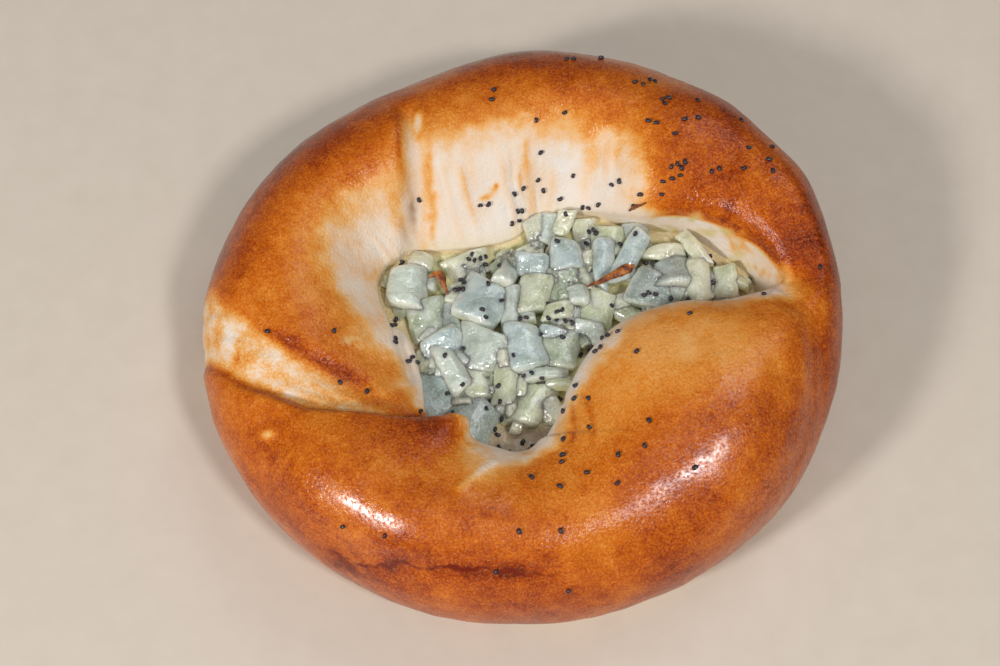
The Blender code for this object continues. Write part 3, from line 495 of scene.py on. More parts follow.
WHITEST, TEAR_EYE, EYE_BAKE, TEAR_RIM_BAKE = (7, 29.5, 5.0, 2.4), (-19.4, 33.6, 0.9, 2.6), 0.2, 0.72
BLISTER_BAKE = 0.14
cream_tone = 0.06 + 0.05 * value_noise(flat, 4.0, 38) + 0.2 * np.clip(on_back * marks - 0.1, 0, 1)
gold_wander, gold_depth = 0.5 * value_noise(flat, 2.0, 39), 0.8 + 0.4 * value_noise(flat, 1.2, 40)
for line, half_width, strength in GOLD_LINES:
    away, line_along = from_line(flat, line)
    gold = bell(away + gold_wander, half_width) * gold_depth
    cream_tone += strength * gold * fade_ends(line_along, 0.2, 0.2)
cream_tone += 0.08 * smooth_step(x, 39, 47) * at_cave * (1 + 1.6 * value_noise(flat, 2.0, 48))
cream_tone -= 0.12 * spot(flat, *WHITEST, 2)
bake = bake * (1 - cream) + cream_tone * cream

# The tear's rims have browned, and its bed and upper end haven't
tear, tear_along = from_tear(flat)
left_rim = bell(tear - 1.9, 0.9) * (1 - smooth_step(tear_along, 0.3, 0.62))
right_rim = bell(tear + 2.4, 0.8) * (0.35 + 0.65 * (1 - smooth_step(tear_along, 0.15, 0.4)))
rim_of_tear = np.clip((left_rim + right_rim) * smooth_step(tear_along, 0.0, 0.1), 0, 1)
in_tear = bell(tear + 0.4, 1.5) * smooth_step(tear_along, 0.05, 0.3)
eye = spot(flat, *TEAR_EYE, 2)
bake *= 1 - 0.6 * in_tear * (1 - cream)
bake += (TEAR_RIM_BAKE - bake) * rim_of_tear * (1.0 - 0.4 * cream)
bake += (EYE_BAKE - bake) * eye
bake += 0.12 * np.clip(wrinkles, 0, 1.2) - 0.2 * scar * (1 - cream)
bake += (BLISTER_BAKE - bake) * 0.8 * blister**2
# The torn edge of the lip has scorched in flecks
TORN_EDGE = ((36.0, 16.2), (39.4, 13.4), (42.9, 9.4), (46.3, 5.0), (48.4, 1.2))
torn_edge = from_line(flat, TORN_EDGE)[0] + 0.6 * value_noise(flat, 1.3, 49)
flecks = np.clip(0.3 + 1.4 * value_noise(flat, 1.3, 50), 0, 1)
bake += 0.24 * flecks * bell(torn_edge, 0.5) * smooth_step(x, 35, 38)
bake = np.clip(bake, 0, 1)

# Onion juice has stained the wall of the well yellow, cracks show taupe, and meal clings to the foot
CRACK, FLAKE_OF_MEAL = (-20.4, 19.8, 0.7, 2.6), (-30.4, -8.0, 2.2, 1.2)
MEAL_HEIGHT, MEAL_HIGHER_IN_FRONT = 1.5, 1.8
juicy = 0.3 + uneven(flat, (3.4, 1.5, 41), (1.2, 0.9, 51))
stain = at_cave * juicy * cream * (1 - 0.9 * smooth_step(x, 38, 45))
stain += 0.5 * smooth_step(-z, -20, -16) * cream
crack = 0.75 * spot(flat, *CRACK) * (0.6 + 0.5 * value_noise(flat, 1.1, 42)) + 0.3 * in_tear * (1 - eye)
meal_edge = MEAL_HEIGHT + uneven(flat, (4.0, 1.2, 43), (1.1, 0.9, 44))
meal_edge += MEAL_HIGHER_IN_FRONT * smooth_step(x, -6, 8) * smooth_step(-y, 20, 28)
flake = spot(flat, *FLAKE_OF_MEAL, 2) * (0.5 + 0.7 * value_noise(flat, 0.9, 47))
meal = np.maximum(smooth_step(meal_edge - z, -0.8, 0.9), flake)


def set_masks(mesh, **masks):
    """Stores one number for each point of a mesh under each name. Poles, which come last, get 0."""
    for name, values in masks.items():
        filled = np.zeros(len(mesh.vertices), np.float32)
        filled[: len(values)] = np.clip(values, 0, 1)
        mesh.attributes.new(name, "FLOAT", "POINT").data.foreach_set("value", filled)


class Flow:
    """A number that flows through a material. Arithmetic on it adds Math nodes."""

    def __init__(self, tree, socket):
        self.tree = tree
        self.socket = socket

    def math(self, operation, first, second):
        node = self.tree.nodes.new("ShaderNodeMath")
        node.operation = operation
        for place, value in zip(node.inputs, (first, second)):
            if isinstance(value, Flow):
                self.tree.links.new(value.socket, place)
            else:
                place.default_value = value
        return Flow(self.tree, node.outputs[0])

    def __add__(self, other):
        return self.math("ADD", self, other)

    def __sub__(self, other):
        return self.math("SUBTRACT", self, other)

    def __rsub__(self, other):
        return self.math("SUBTRACT", other, self)

    def __mul__(self, other):
        return self.math("MULTIPLY", self, other)

    __radd__ = __add__
    __rmul__ = __mul__


def srgb(red, green, blue):
    """A colour given as 0 to 255, as the linear values that a shader takes."""
    c = np.array([red, green, blue]) / 255
    linear = np.where(c <= 0.04045, c / 12.92, ((c + 0.055) / 1.055) ** 2.4)
    return (*(float(part) for part in linear), 1.0)


class Finish:
    """One material, built up node by node."""

    def __init__(self, name):
        self.material = bpy.data.materials.new(name)
        self.material.use_nodes = True
        self.tree = self.material.node_tree
        self.tree.nodes.clear()
        output = self.tree.nodes.new("ShaderNodeOutputMaterial")
        self.shader = self.tree.nodes.new("ShaderNodeBsdfPrincipled")
        self.tree.links.new(self.shader.outputs[0], output.inputs["Surface"])
        place = self.tree.nodes.new("ShaderNodeTexCoord")
        self.place = Flow(self.tree, place.outputs["Object"])

    def add(self, kind, settings, inputs, output=0):
        """Adds a node: its settings first, then the values or links of its sockets."""
        node = self.tree.nodes.new("ShaderNode" + kind)
        for name, value in settings.items():
            if name == "stops":
                while len(node.color_ramp.elements) < len(value):
                    node.color_ramp.elements.new(0.5)
                for element, (position, colour) in zip(node.color_ramp.elements, value):
                    element.position = position
                    element.color = colour
            else:
                setattr(node, name, value)
        self.connect(node, inputs)
        return Flow(self.tree, node.outputs[output])

    def connect(self, node, inputs):
        for name, value in inputs.items():
            socket = node.inputs[name]
            if isinstance(value, Flow):
                self.tree.links.new(value.socket, socket)
            else:
                socket.default_value = value

    def mask(self, name):
        return self.add("Attribute", {"attribute_name": name}, {}, "Fac")

    def noise(self, size, detail=2.0, roughness=0.55):
        """Noise from 0 to 1 whose lumps are about that size in millimetres."""
        inputs = {"Vector": self.place, "Scale": 1000 / size, "Detail": detail, "Roughness": roughness}
        return self.add("TexNoise", {}, inputs, "Fac")

    def cells(self, size):
        """Distance from the nearest of scattered points that far apart, 0 at a point, in millimetres."""
        inputs = {"Vector": self.place, "Scale": 1000 / size, "Randomness": 1.0}
        return self.add("TexVoronoi", {}, inputs, "Distance")

    def blend(self, share, first, second):
        """Mixes two colours by a share."""
        settings = {"data_type": "RGBA", "clamp_factor": True}
        return self.add("Mix", settings, {0: share, 6: first, 7: second}, 2)

    def bump(self, height, depth, strength=1.0):
        """A normal moved by a height from 0 to 1, of that depth in millimetres."""
        inputs = {"Height": height, "Distance": depth * MM, "Strength": strength}
        return self.add("Bump", {}, inputs, "Normal")

    def shade(self, **inputs):
        self.connect(self.shader, {name.replace("_", " "): value for name, value in inputs.items()})
        return self.material


def crust_finish():
    """Baked crust: a browning scale read by place, fine mottling, a thin shine and a pebbled skin."""
    crust = Finish("crust")
    grain = crust.noise(0.38, 2.0, 0.6)
    cells = crust.cells(0.85)
    mottle = crust.noise(3.0, 4.0, 0.65)
    bake = crust.mask("bake")
    speckle = (grain - 0.5) * 0.65 + (cells - 0.45) * 0.1
    freckle = crust.mask("freckle")
    tone = bake + speckle * (bake * 0.95 + freckle * 0.45 + 0.08) + (mottle - 0.5) * 0.5 * bake
    stops = (
        (0.0, srgb(229, 223, 214)),
        (0.16, srgb(231, 206, 178)),
        (0.32, srgb(230, 174, 104)),
        (0.48, srgb(220, 139, 50)),
        (0.64, srgb(196, 99, 14)),
        (0.80, srgb(154, 60, 6)),
        (1.0, srgb(86, 24, 4)),
    )
    colour = crust.add("ValToRGB", {"stops": stops}, {"Fac": tone})
    flour = crust.noise(0.36, 1.0)
    colour = crust.blend((flour - 0.57) * 3.0 * (freckle * 0.6 + 0.3), colour, srgb(238, 186, 136))
    off_seam = (crust.mask("seam") - 0.5) * (2 * SEAM_RANGE) + (crust.noise(4.0, 2.0) - 0.5) * 3.0
    scorched = (1 - off_seam * off_seam * 8.0) * crust.mask("seam_fade") * (mottle * 3.0 - 0.6)
    colour = crust.blend(scorched, colour, srgb(110, 28, 4))
    colour = crust.blend(crust.mask("stain") * 0.85, colour, srgb(206, 190, 120))
    colour = crust.blend(crust.mask("crack"), colour, srgb(150, 112, 80))
    colour = crust.blend(crust.mask("meal") * (grain + 0.35), colour, srgb(232, 196, 132))
    pebbles = crust.noise(0.55, 2.0)
    height = pebbles * 1.2 + crust.noise(2.2, 2.0)
    glaze = crust.mask("shine") * (1.35 - pebbles * 0.9)
    return crust.shade(
        Base_Color=colour,
        Roughness=0.46 - glaze * 0.36,
        Specular_IOR_Level=0.22,
        Coat_Weight=crust.mask("glaze") * (crust.noise(0.6, 1.0) * 5.5 - 1.85),
        Coat_Roughness=0.24,
        Normal=crust.bump(height, 0.1, 1.0),
    )


shine = smooth_step(bake, 0.2, 0.55) * (1 - meal) * (0.75 + 0.25 * value_noise(flat, 8.0, 45))
# Where the shine has pooled: x, y, reach and strength
GLAZED = ((-27, -43, 15, 1.0), (34, -30, 15, 1.3), (-40, 14, 12, 0.35), (-4, 48, 18, 0.3), (-4, -46, 8, 0.5))
dough_mesh = lofted_mesh("dough", rings, (0, 0, 0), (*WELL_CENTRE, FLOOR_HEIGHT))
pooled = sum(strength * spot(flat, gx, gy, reach, reach) for gx, gy, reach, strength in GLAZED)
set_masks(
    dough_mesh, bake=bake, stain=stain, crack=crack, meal=meal, shine=shine,
    freckle=in_band * (1 - cream), glaze=shine * smooth_step(z, 20, 26) * pooled,
    seam=0.5 + seam / (2 * SEAM_RANGE), seam_fade=seam_fade,
)
add_piece("dough", dough_mesh, crust_finish(), "bialy_roll")

# The bed under the chopped onion: soft onion and its juice, which has set to a brown film in front.
# It reaches just into the wall of the well, so that no gap shows round it.
BED_HEIGHT, BED_RISE, BED_UNDER_LIP, FLOOR_GAP, BED_INTO_WALL = 15.9, 0.045, 0.8, 0.5, 0.25
BED_ROWS, BED_FOOT_ROWS, BED_FOOT_INSET, BED_MIDDLE_HEIGHT = 34, 2, 0.4, 16.3
BED_POLE = (*WELL_CENTRE, FLOOR_EDGE_HEIGHT + FLOOR_GAP)


def bed_height(plan):
    """Height of the onion bed, which falls from the back slope to the front."""
    return BED_HEIGHT + BED_RISE * plan[..., 1]


def moved_out(ring, distance):
    """A ring of the bed moved along its own outward normal in plan."""
    along = np.roll(ring[:, :2], -1, 0) - np.roll(ring[:, :2], 1, 0)
    outward = np.column_stack([along[:, 1], -along[:, 0]])
    moved = ring.copy()
    moved[:, :2] += distance * outward / np.linalg.norm(outward, axis=1)[:, None]
    return moved


bed_foot = moved_out(wall_ring(guides, FLOOR_EDGE_HEIGHT + FLOOR_GAP), -BED_FOOT_INSET)
bed_edge_height = np.minimum(bed_height(guides["lip"]), guides["lip_height"] - BED_UNDER_LIP)
bed_edge = moved_out(wall_ring(guides, bed_edge_height), BED_INTO_WALL)
bed_rings = [(bed_foot + BED_POLE) / 2, bed_foot]
for share in np.linspace(0, 1, BED_ROWS, endpoint=False) ** 1.3:
    plan = bed_edge[:, :2] + (WELL_CENTRE - bed_edge[:, :2]) * share
    risen = smooth_step(share, 0, 0.12)
    lift = bed_height(plan) * risen + bed_edge[:, 2] * (1 - risen)
    lumps = uneven(plan, (3.4, 0.5, 51), (1.3, 0.2, 52))
    bed_rings.append(np.column_stack([plan, lift + lumps * smooth_step(share, 0, 0.1)]))
bed_rings = np.array(bed_rings)


def bed_finish():
    """Onion juice and soft onion: yellow green and translucent, browner where it is thin in front."""
    juice = Finish("onion_juice")
    browner = juice.mask("browner")
    soaked_dough = juice.mask("soaked_dough")
    colour = juice.blend(juice.noise(3.0), srgb(194, 188, 128), srgb(216, 210, 160))
    colour = juice.blend(soaked_dough, colour, srgb(226, 206, 158))
    colour = juice.blend(browner, colour, srgb(196, 176, 148))
    return juice.shade(
        Base_Color=colour,
        Roughness=0.2,
        Coat_Weight=0.3,
        Coat_Roughness=0.1,
        Normal=juice.bump(juice.noise(0.5), 0.3, 0.9),
    )


bed_mesh = lofted_mesh("onion_bed", bed_rings, BED_POLE, (*WELL_CENTRE, BED_MIDDLE_HEIGHT))
bed_places = bed_rings.reshape(-1, 3)
from_edge = by_row(np.arange(len(bed_rings))) - BED_FOOT_ROWS + 2.5 * value_noise(bed_places, 2.5, 53)
in_front = smooth_step(-bed_places[:, 1], 17, 23)
set_masks(bed_mesh, browner=in_front, soaked_dough=1 - smooth_step(from_edge, 3, 9))
add_piece("onion_bed", bed_mesh, bed_finish(), "onion_filling")

# Chopped onion: squares and strips cut from an onion's layers and cooked until they are glassy. Each is
# a slab with rounded edges and faint ribs, bowed as its layer was, lying on the bed or on the dough.
# Each piece: x, y, width, length, thickness, lift, turn, pitch, roll, tint
PEARL, COOL, YELLOW, GREY, GLASSY, WARM = range(6)
ONION_TINTS = (
    srgb(194, 206, 194), srgb(182, 200, 200), srgb(200, 206, 170), srgb(154, 168, 162),
    srgb(162, 174, 146), srgb(214, 214, 182),
)
ONION = (
    (-21.3, 5.6, 7.0, 8.0, 4.4, 1.4, 0, 4, 8, PEARL),
    (-17.4, -0.6, 6.6, 7.6, 4.0, 1.2, 20, 6, -6, GLASSY),
    (-13.2, -0.3, 3.4, 5.2, 3.0, 1.0, 10, 0, 0, GREY),
    (-7.4, 2.2, 9.0, 8.2, 3.0, 2.7, -35, -6, 6, COOL),
    (-2.2, 0.8, 3.1, 9.2, 3.4, 2.0, -6, 0, 12, PEARL),
    (-2.9, 8.6, 3.6, 6.6, 3.0, 2.4, -25, -20, 20, PEARL),
    (1.8, 10.1, 5.8, 4.2, 3.4, 2.6, -8, 16, 4, COOL),
    (1.8, 4.4, 6.4, 7.0, 3.4, 2.1, -5, 8, -6, YELLOW),
    (8.0, 12.0, 5.6, 5.8, 5.0, 2.2, 4, 10, 4, COOL),
    (5.0, 9.4, 3.0, 4.2, 3.0, 1.6, 0, 0, 0, GREY),
    (8.4, 6.4, 7.4, 6.6, 3.4, 1.2, 0, 12, 8, GLASSY),
    (11.4, 7.6, 2.2, 5.6, 3.0, 2.0, 16, 0, 26, YELLOW),
    (14.7, 10.6, 3.7, 9.0, 3.2, 2.2, -8, 8, 16, COOL),
    (19.8, 11.8, 3.7, 10.0, 3.2, 2.6, -28, 8, 18, COOL),
    (10.1, 3.6, 3.8, 3.5, 3.0, 2.6, 0, 0, 0, PEARL),
    (6.5, 0.8, 5.4, 3.3, 3.0, 2.0, 4, 6, 0, YELLOW),
    (13.9, 1.6, 5.6, 6.6, 2.8, 2.4, -15, 4, 8, YELLOW),
    (12.0, -2.8, 5.6, 3.8, 3.0, 2.0, -12, 26, 0, PEARL),
    (8.2, -1.9, 4.2, 3.0, 2.8, 1.4, 0, 0, -10, YELLOW),
    (0.3, -6.2, 7.0, 8.4, 5.0, 2.6, 5, 8, 12, COOL),
    (6.4, -6.0, 7.6, 7.4, 3.2, 1.2, -10, 10, -10, GLASSY),
    (6.2, -3.2, 6.6, 1.8, 2.6, 2.3, -14, 24, 0, COOL),
    (-7.4, -6.8, 8.0, 7.6, 3.4, 2.1, -5, 6, -4, PEARL),
    (-14.8, -5.4, 8.0, 4.4, 3.2, 2.2, 25, 24, 0, COOL),
    (-17.2, -8.6, 3.4, 4.8, 3.0, 1.0, 10, 0, -16, YELLOW),
    (-12.9, -10.8, 3.9, 8.2, 3.0, 3.0, 35, 6, 10, PEARL),
    (-8.2, -13.1, 5.2, 5.2, 3.0, 2.0, 5, 6, 6, YELLOW),
    (-16.0, -14.4, 8.0, 8.6, 3.0, 1.6, -30, -6, -4, COOL),
    (-9.9, -19.8, 9.4, 8.4, 3.0, 1.0, -28, 2, -6, GREY),
    (-3.2, -12.3, 4.2, 9.4, 3.0, 1.9, -5, 4, 0, YELLOW),
    (-3.6, -8.9, 2.4, 3.4, 2.4, 2.8, 5, 0, 0, WARM),
    (0.7, -17.0, 7.9, 7.2, 3.0, 1.5, -9, 2, -2, YELLOW),
    (4.1, -11.8, 7.6, 1.7, 3.4, 1.9, 4, 0, 0, PEARL),
    (11.6, 18.0, 4.2, 4.0, 1.8, 0.5, 10, 8, 0, WARM),
    (3.8, 18.2, 6.0, 5.2, 2.4, 0.6, 0, 10, 0, PEARL),
    (2.4, 15.0, 3.0, 3.0, 2.0, 0.8, 20, 0, 0, WARM),
    (-10.2, 10.4, 7.6, 4.4, 1.6, 0.9, 20, 10, 0, WARM),
    (21.6, 16.2, 4.2, 4.6, 2.6, 1.6, 6, 14, 0, GREY),
    (16.2, 15.3, 6.0, 5.6, 2.4, 1.4, 0, 10, 0, YELLOW),
    (26.7, 12.9, 7.2, 3.1, 3.0, 2.4, -8, 10, 0, WARM),
    (31.8, 13.3, 2.6, 7.2, 2.8, 2.6, 40, 0, 0, WARM),
    (24.5, 4.8, 9.4, 6.4, 3.2, 2.6, -15, 10, 6, GREY),
    (27.6, 8.2, 7.0, 5.4, 3.2, 2.3, 12, -8, 10, GREY),
    (32.6, 6.9, 4.4, 7.4, 3.4, 2.2, 14, 4, 16, WARM),
    (37.6, 7.0, 4.6, 6.2, 3.0, 1.4, 0, 6, -20, YELLOW),
    (18.8, 3.2, 4.4, 2.8, 2.4, 1.9, 24, 0, 0, YELLOW),
)
SCRAP_COUNT, SCRAP_SIDE, SCRAP_DRAW = 110, (1.8, 4.8), 61
SCRAP_THICKNESS, SCRAP_LEAN = 2.2, 25
SLAB_STEPS, SWELL, TILT, LIFT_SHARE, DROP_HEIGHT = 10, 1.1, 7, 0.85, 60


def height_of(tree, x, y):
    """The height in millimetres of the highest surface of a tree at a place in plan."""
    hit = tree.ray_cast(Vector((x, y, DROP_HEIGHT)) * MM, Vector((0, 0, -1)))[0]
    return hit.z / MM if hit else 0.0


def tree_of(meshes):
    """One search tree over the triangles of several meshes."""
    points, triangles, start = [], [], 0
    for mesh in meshes:
        mesh.calc_loop_triangles()
        places = np.empty(len(mesh.vertices) * 3, np.float32)
        mesh.vertices.foreach_get("co", places)
        corners = np.empty(len(mesh.loop_triangles) * 3, np.int32)
        mesh.loop_triangles.foreach_get("vertices", corners)
        points += places.reshape(-1, 3).tolist()
        triangles += (corners.reshape(-1, 3) + start).tolist()
        start = len(points)
    return BVHTree.FromPolygons(points, triangles, all_triangles=True)


def cube_grid(steps):
    """A closed cube from -1 to 1 as six grids of two parameters, lines crowded to its edges by a sine."""
    even = np.sin(np.linspace(-math.pi / 2, math.pi / 2, steps + 1))
    a, b = (grid.ravel() for grid in np.meshgrid(even, even, indexing="ij"))
    row = np.arange(steps)[:, None] * (steps + 1) + np.arange(steps)
    quad = np.stack([row, row + steps + 1, row + steps + 2, row + 1], -1).reshape(-1, 4)
    points, quads = [], []
    for axis in range(3):
        for side in (-1, 1):
            face = np.empty((len(a), 3))
            face[:, axis] = side
            face[:, (axis + 1) % 3] = a
            face[:, (axis + 2) % 3] = b
            quads.append((quad if side > 0 else quad[:, ::-1]) + len(a) * len(points))
            points.append(face)
    corners, which = np.unique(np.round(np.vstack(points), 6), axis=0, return_inverse=True)
    return corners, which.ravel()[np.vstack(quads)]


def turned(points, turn, pitch, roll):
    """Points rolled about Y, pitched about X and turned about Z, in degrees."""
    lay = Matrix.Rotation(math.radians(turn), 3, "Z")
    lay = lay @ Matrix.Rotation(math.radians(pitch), 3, "X") @ Matrix.Rotation(math.radians(roll), 3, "Y")
    return points @ np.array(lay).T


cube_points, cube_quads = cube_grid(SLAB_STEPS)


def onion_slab(width, length, thickness, draw):
    """A slab of onion layer: a box with a rounded edge, four uneven corners, a bow, ribs and dents.

    Each point is drawn from the box's core by the edge's radius; then z falls with the square of x.
    """
    half = np.array([width, length, thickness]) / 2
    radius = min(0.26 * thickness, 0.2 * min(width, length))
    core = np.clip(cube_points * half, radius - half, half - radius)
    away = cube_points * half - core
    away /= np.linalg.norm(away, axis=1)[:, None]
    points = core + radius * away
    u, v, w = (points / half).T
    shear = draw.uniform(-0.11, 0.11, 6)
    points[:, 0] += width * (shear[0] * v + shear[1] * u * v + 0.4 * shear[4] * (v**2 - 0.3))
    points[:, 1] += length * (shear[2] * u + shear[3] * u * v + 0.4 * shear[5] * (u**2 - 0.3))
    ribs = np.cos(points[:, 1] * 5.2 + 1.5 * value_noise(points, 3.0, draw.randint(1000)))
    points[:, 2] += 0.07 * ribs * (1 - smooth_step(np.abs(v), 0.6, 1)) * w
    points += away * uneven(points, (2.8, 0.36, draw.randint(1000)), (1.3, 0.16, draw.randint(1000)))[:, None]
    points[:, 2] -= draw.uniform(0.10, 0.20) * width * (u**2 - 0.4)
    # Nearness to the slab's rim, where the colour is painted whiter: painted light glowing out through the
    # edges.
    cut = smooth_step(np.maximum(np.abs(u), np.abs(v)), 0.8, 1.0)
    return points, np.stack([cut, smooth_step(-w, -0.5, 0.9), 0.5 + 0.5 * ribs], 1)


def in_well(x, y):
    """How far inside the lip of the well a place is, in millimetres."""
    return float(inside(np.array([[x, y]]), [tuple(point) for point in guides["lip"][::5]])[0])


ground = tree_of([dough_mesh, bed_mesh])
draw = np.random.RandomState(SCRAP_DRAW)
scraps = []
while len(scraps) < SCRAP_COUNT:
    x, y = draw.uniform(-25, 42), draw.uniform(-24, 20)
    if in_well(x, y) > 1.5 and y > -20:
        size = draw.uniform(*SCRAP_SIDE, 2)
        lean = draw.uniform(-SCRAP_LEAN, SCRAP_LEAN, 2)
        tint = draw.choice([PEARL, GLASSY, YELLOW, YELLOW, WARM])
        lift, turn = draw.uniform(0.3, 2.0), draw.uniform(0, 180)
        scraps.append((x, y, *size, SCRAP_THICKNESS, lift, turn, *lean, tint))
onion_points, onion_tints, onion_masks = [], [], []
for x, y, width, length, thickness, lift, turn, pitch, roll, tint in (*ONION, *scraps):
    points, masks = onion_slab(width * SWELL, length * SWELL, thickness, draw)
    pitch, roll = np.array([pitch, roll]) + draw.uniform(-TILT, TILT, 2)
    height = height_of(ground, x, y) + lift * LIFT_SHARE
    onion_points.append(turned(points, turn, pitch, roll) + (x, y, height))
    shade = 1 + draw.uniform(-0.1, 0.06)
    onion_tints.append(np.tile(np.array(ONION_TINTS[tint]) * (shade, shade, shade, 1), (len(points), 1)))
    onion_masks.append(masks)


def onion_finish():
    """Cooked onion: glassy and wet, painted whiter at its edges as painted light glowing through them, green
    below, with veins, painted white glint specks and a frosted skin.
    """
    onion = Finish("onion")
    cloud = onion.noise(4.0, 2.0)
    glint_specks = onion.noise(0.4, 1.0)
    tint = onion.add("Attribute", {"attribute_name": "tint"}, {}, "Color")
    colour = onion.blend((0.5 - cloud) * 2.6, tint, srgb(136, 150, 128))
    colour = onion.blend((cloud - 0.5) * 2.0 + onion.mask("rib") * 0.2, colour, srgb(222, 230, 216))
    # Painted light: the rim of each piece is painted whiter, as if light glowed out through it.
    colour = onion.blend(onion.mask("cut") * cloud * 0.8, colour, srgb(234, 236, 218))
    colour = onion.blend(onion.mask("under") * 0.85, colour, srgb(206, 202, 136))
    # Painted highlights: fine white specks stand in for glints on the wet skin; the same noise also roughens
    # the bump.
    colour = onion.blend((glint_specks - 0.56) * 2.2, colour, srgb(240, 244, 240))
    frost = onion.noise(1.2, 1.0) * 1.3 + glint_specks * 0.6
    return onion.shade(
        Base_Color=colour,
        Roughness=0.15,
        Specular_IOR_Level=1.0,
        Coat_Weight=1.0,
        Coat_Roughness=0.05,
        Subsurface_Weight=0.85,
        Subsurface_Radius=(1.0, 1.0, 1.0),
        Subsurface_Scale=0.0025,
        Normal=onion.bump(frost, 0.24, 1.0),
    )


onion_mesh = copies_mesh("onion_pieces", onion_points, cube_quads)
tints = onion_mesh.attributes.new("tint", "FLOAT_COLOR", "POINT")
tints.data.foreach_set("color", np.vstack(onion_tints).astype(np.float32).ravel())
set_masks(onion_mesh, **dict(zip(("cut", "under", "rib"), np.vstack(onion_masks).T)))
add_piece("onion_pieces", onion_mesh, onion_finish())

# Slivers of onion that stuck up and toasted: dry, thin and curled, orange brown with dark streaks.
# Each: points along it as x, y and height over what is below, then the half width at each.
TOASTED = (
    (
        ((11.6, 4.6, 4.6), (14.5, 5.6, 5.2), (17.4, 6.9, 5.5), (19.4, 8.0, 5.4), (20.4, 8.6, 5.0)),
        (0.25, 0.5, 0.8, 1.15, 0.5),
    ),
    (
        ((-17.4, 7.2, 3.0), (-16.2, 7.9, 3.4), (-15.2, 7.6, 3.6), (-14.6, 5.8, 3.4), (-13.7, 3.8, 2.9)),
        (0.3, 0.75, 0.9, 0.6, 0.25),
    ),
    (((19.8, 19.0, 0.4), (20.8, 19.1, 0.8), (21.7, 19.0, 0.7), (22.7, 19.3, 0.4)), (0.3, 0.35, 0.25, 0.3)),
)
SLIVER_STEPS, SLIVER_SIDES, SLIVER_DRAW = 26, 14, 71


def sliver(spine, half_widths, seed):
    """A closed strip swept along a spine: an ellipse at each step, thin, with a ragged edge."""
    spine = np.array([(x, y, height_of(ground, x, y) + up) for x, y, up in spine])
    known = np.linspace(0, 1, len(spine))
    share = np.linspace(0, 1, SLIVER_STEPS)
    path = np.stack([np.interp(share, known, spine[:, k]) for k in range(3)], 1)
    smoothed = path.copy()
    for _ in range(4):
        smoothed[1:-1] = (smoothed[:-2] + 2 * smoothed[1:-1] + smoothed[2:]) / 4
    forward = np.gradient(smoothed, axis=0)
    forward /= np.linalg.norm(forward, axis=1)[:, None]
    aside = np.cross(forward, [0, 0, 1])
    aside /= np.linalg.norm(aside, axis=1)[:, None]
    up = np.cross(aside, forward)
    width = np.interp(share, known, half_widths) * (np.sin(np.pi * np.clip(share, 0.03, 0.97)) ** 0.3)
    angle = np.arange(SLIVER_SIDES) * 2 * math.pi / SLIVER_SIDES
    ring = np.cos(angle)[None, :, None] * aside[:, None] * width[:, None, None]
    ring = ring + np.sin(angle)[None, :, None] * up[:, None] * (0.28 + 0.3 * width)[:, None, None]
    rings = smoothed[:, None] + ring
    rough = uneven(rings.reshape(-1, 3), (0.9, 0.16, seed)).reshape(ring.shape[:2])
    return rings + ring / np.linalg.norm(ring, axis=2, keepdims=True) * rough[..., None]


slivers = []
for number, (spine, half_widths) in enumerate(TOASTED):
    swept = sliver(spine, half_widths, SLIVER_DRAW + number)[:, ::-1]
    slivers.append(np.vstack([swept.reshape(-1, 3), swept[0].mean(0), swept[-1].mean(0)]))
sliver_mesh = copies_mesh("toasted_onion", slivers, *lofted_faces(SLIVER_STEPS, SLIVER_SIDES))


def toasted_finish():
    """Toasted onion: dry orange brown, darker in streaks."""
    toasted = Finish("toasted_onion")
    colour = toasted.blend((toasted.noise(1.2, 3.0) - 0.42) * 3.6, srgb(98, 38, 6), srgb(200, 122, 46))
    return toasted.shade(
        Base_Color=colour,
        Roughness=0.45,
        Coat_Weight=0.15,
        Normal=toasted.bump(toasted.noise(0.5), 0.2, 0.8),
    )


add_piece("toasted_onion", sliver_mesh, toasted_finish())

# Poppy seeds: kidney-shaped, about 1.1 mm long, blue black, with a netted skin. They lie where they
# fell on crust and onion, thickest over the well and up its back slope.
# Each patch: x, y, spread across, spread along, turn, count
SEED_PATCHES = (
    (-7.5, 11.0, 1.5, 0.8, -20, 11), (-11.6, 5.2, 1.0, 1.2, 0, 8), (-6.8, -1.9, 0.8, 0.3, 0, 2),
    (-0.4, -1.0, 0.9, 0.3, 0, 3), (6.8, -1.2, 1.6, 0.7, -20, 8), (6.5, -4.8, 1.2, 0.7, 0, 3),
    (17.2, -0.6, 0.3, 1.6, 10, 3), (11.2, -6.8, 0.8, 1.6, -25, 6), (15.2, -6.8, 1.4, 1.4, 0, 4),
    (13.2, -10.6, 1.0, 0.7, 0, 2), (2.6, -12.8, 1.4, 0.3, -12, 6), (-4.8, -16.8, 0.8, 1.2, 0, 4),
    (-4.4, -20.6, 0.5, 1.2, 0, 3), (-1.6, -24.9, 1.6, 0.8, 0, 6), (-6.0, -26.0, 1.2, 0.5, -20, 3),
    (1.8, -23.8, 1.0, 1.0, 0, 3), (-17.4, -21.1, 0.8, 0.3, 0, 3), (24.0, 3.0, 1.4, 1.0, 0, 5),
    (24.4, 0.8, 1.4, 0.5, 0, 3), (27.5, 1.9, 1.4, 0.4, 10, 4), (23.1, 10.6, 1.0, 0.7, 0, 4),
    (13.2, 16.2, 0.8, 1.0, 0, 4), (7.9, 16.4, 0.6, 0.5, 0, 2), (-1.2, 20.6, 1.2, 1.2, 0, 5),
    (-23.2, -0.2, 0.3, 0.5, 0, 2), (-23.4, -4.6, 0.3, 1.6, 10, 4), (-20.2, -9.8, 1.0, 0.7, -20, 4),
    (-22.4, 11.4, 0.8, 0.5, 0, 2), (12.5, 22.0, 3.0, 1.5, 0, 4), (29.0, 24.6, 1.0, 0.6, 0, 6),
    (24.0, 42.5, 0.7, 0.4, 0, 2), (26.5, 38.0, 0.7, 0.4, 20, 2),
)
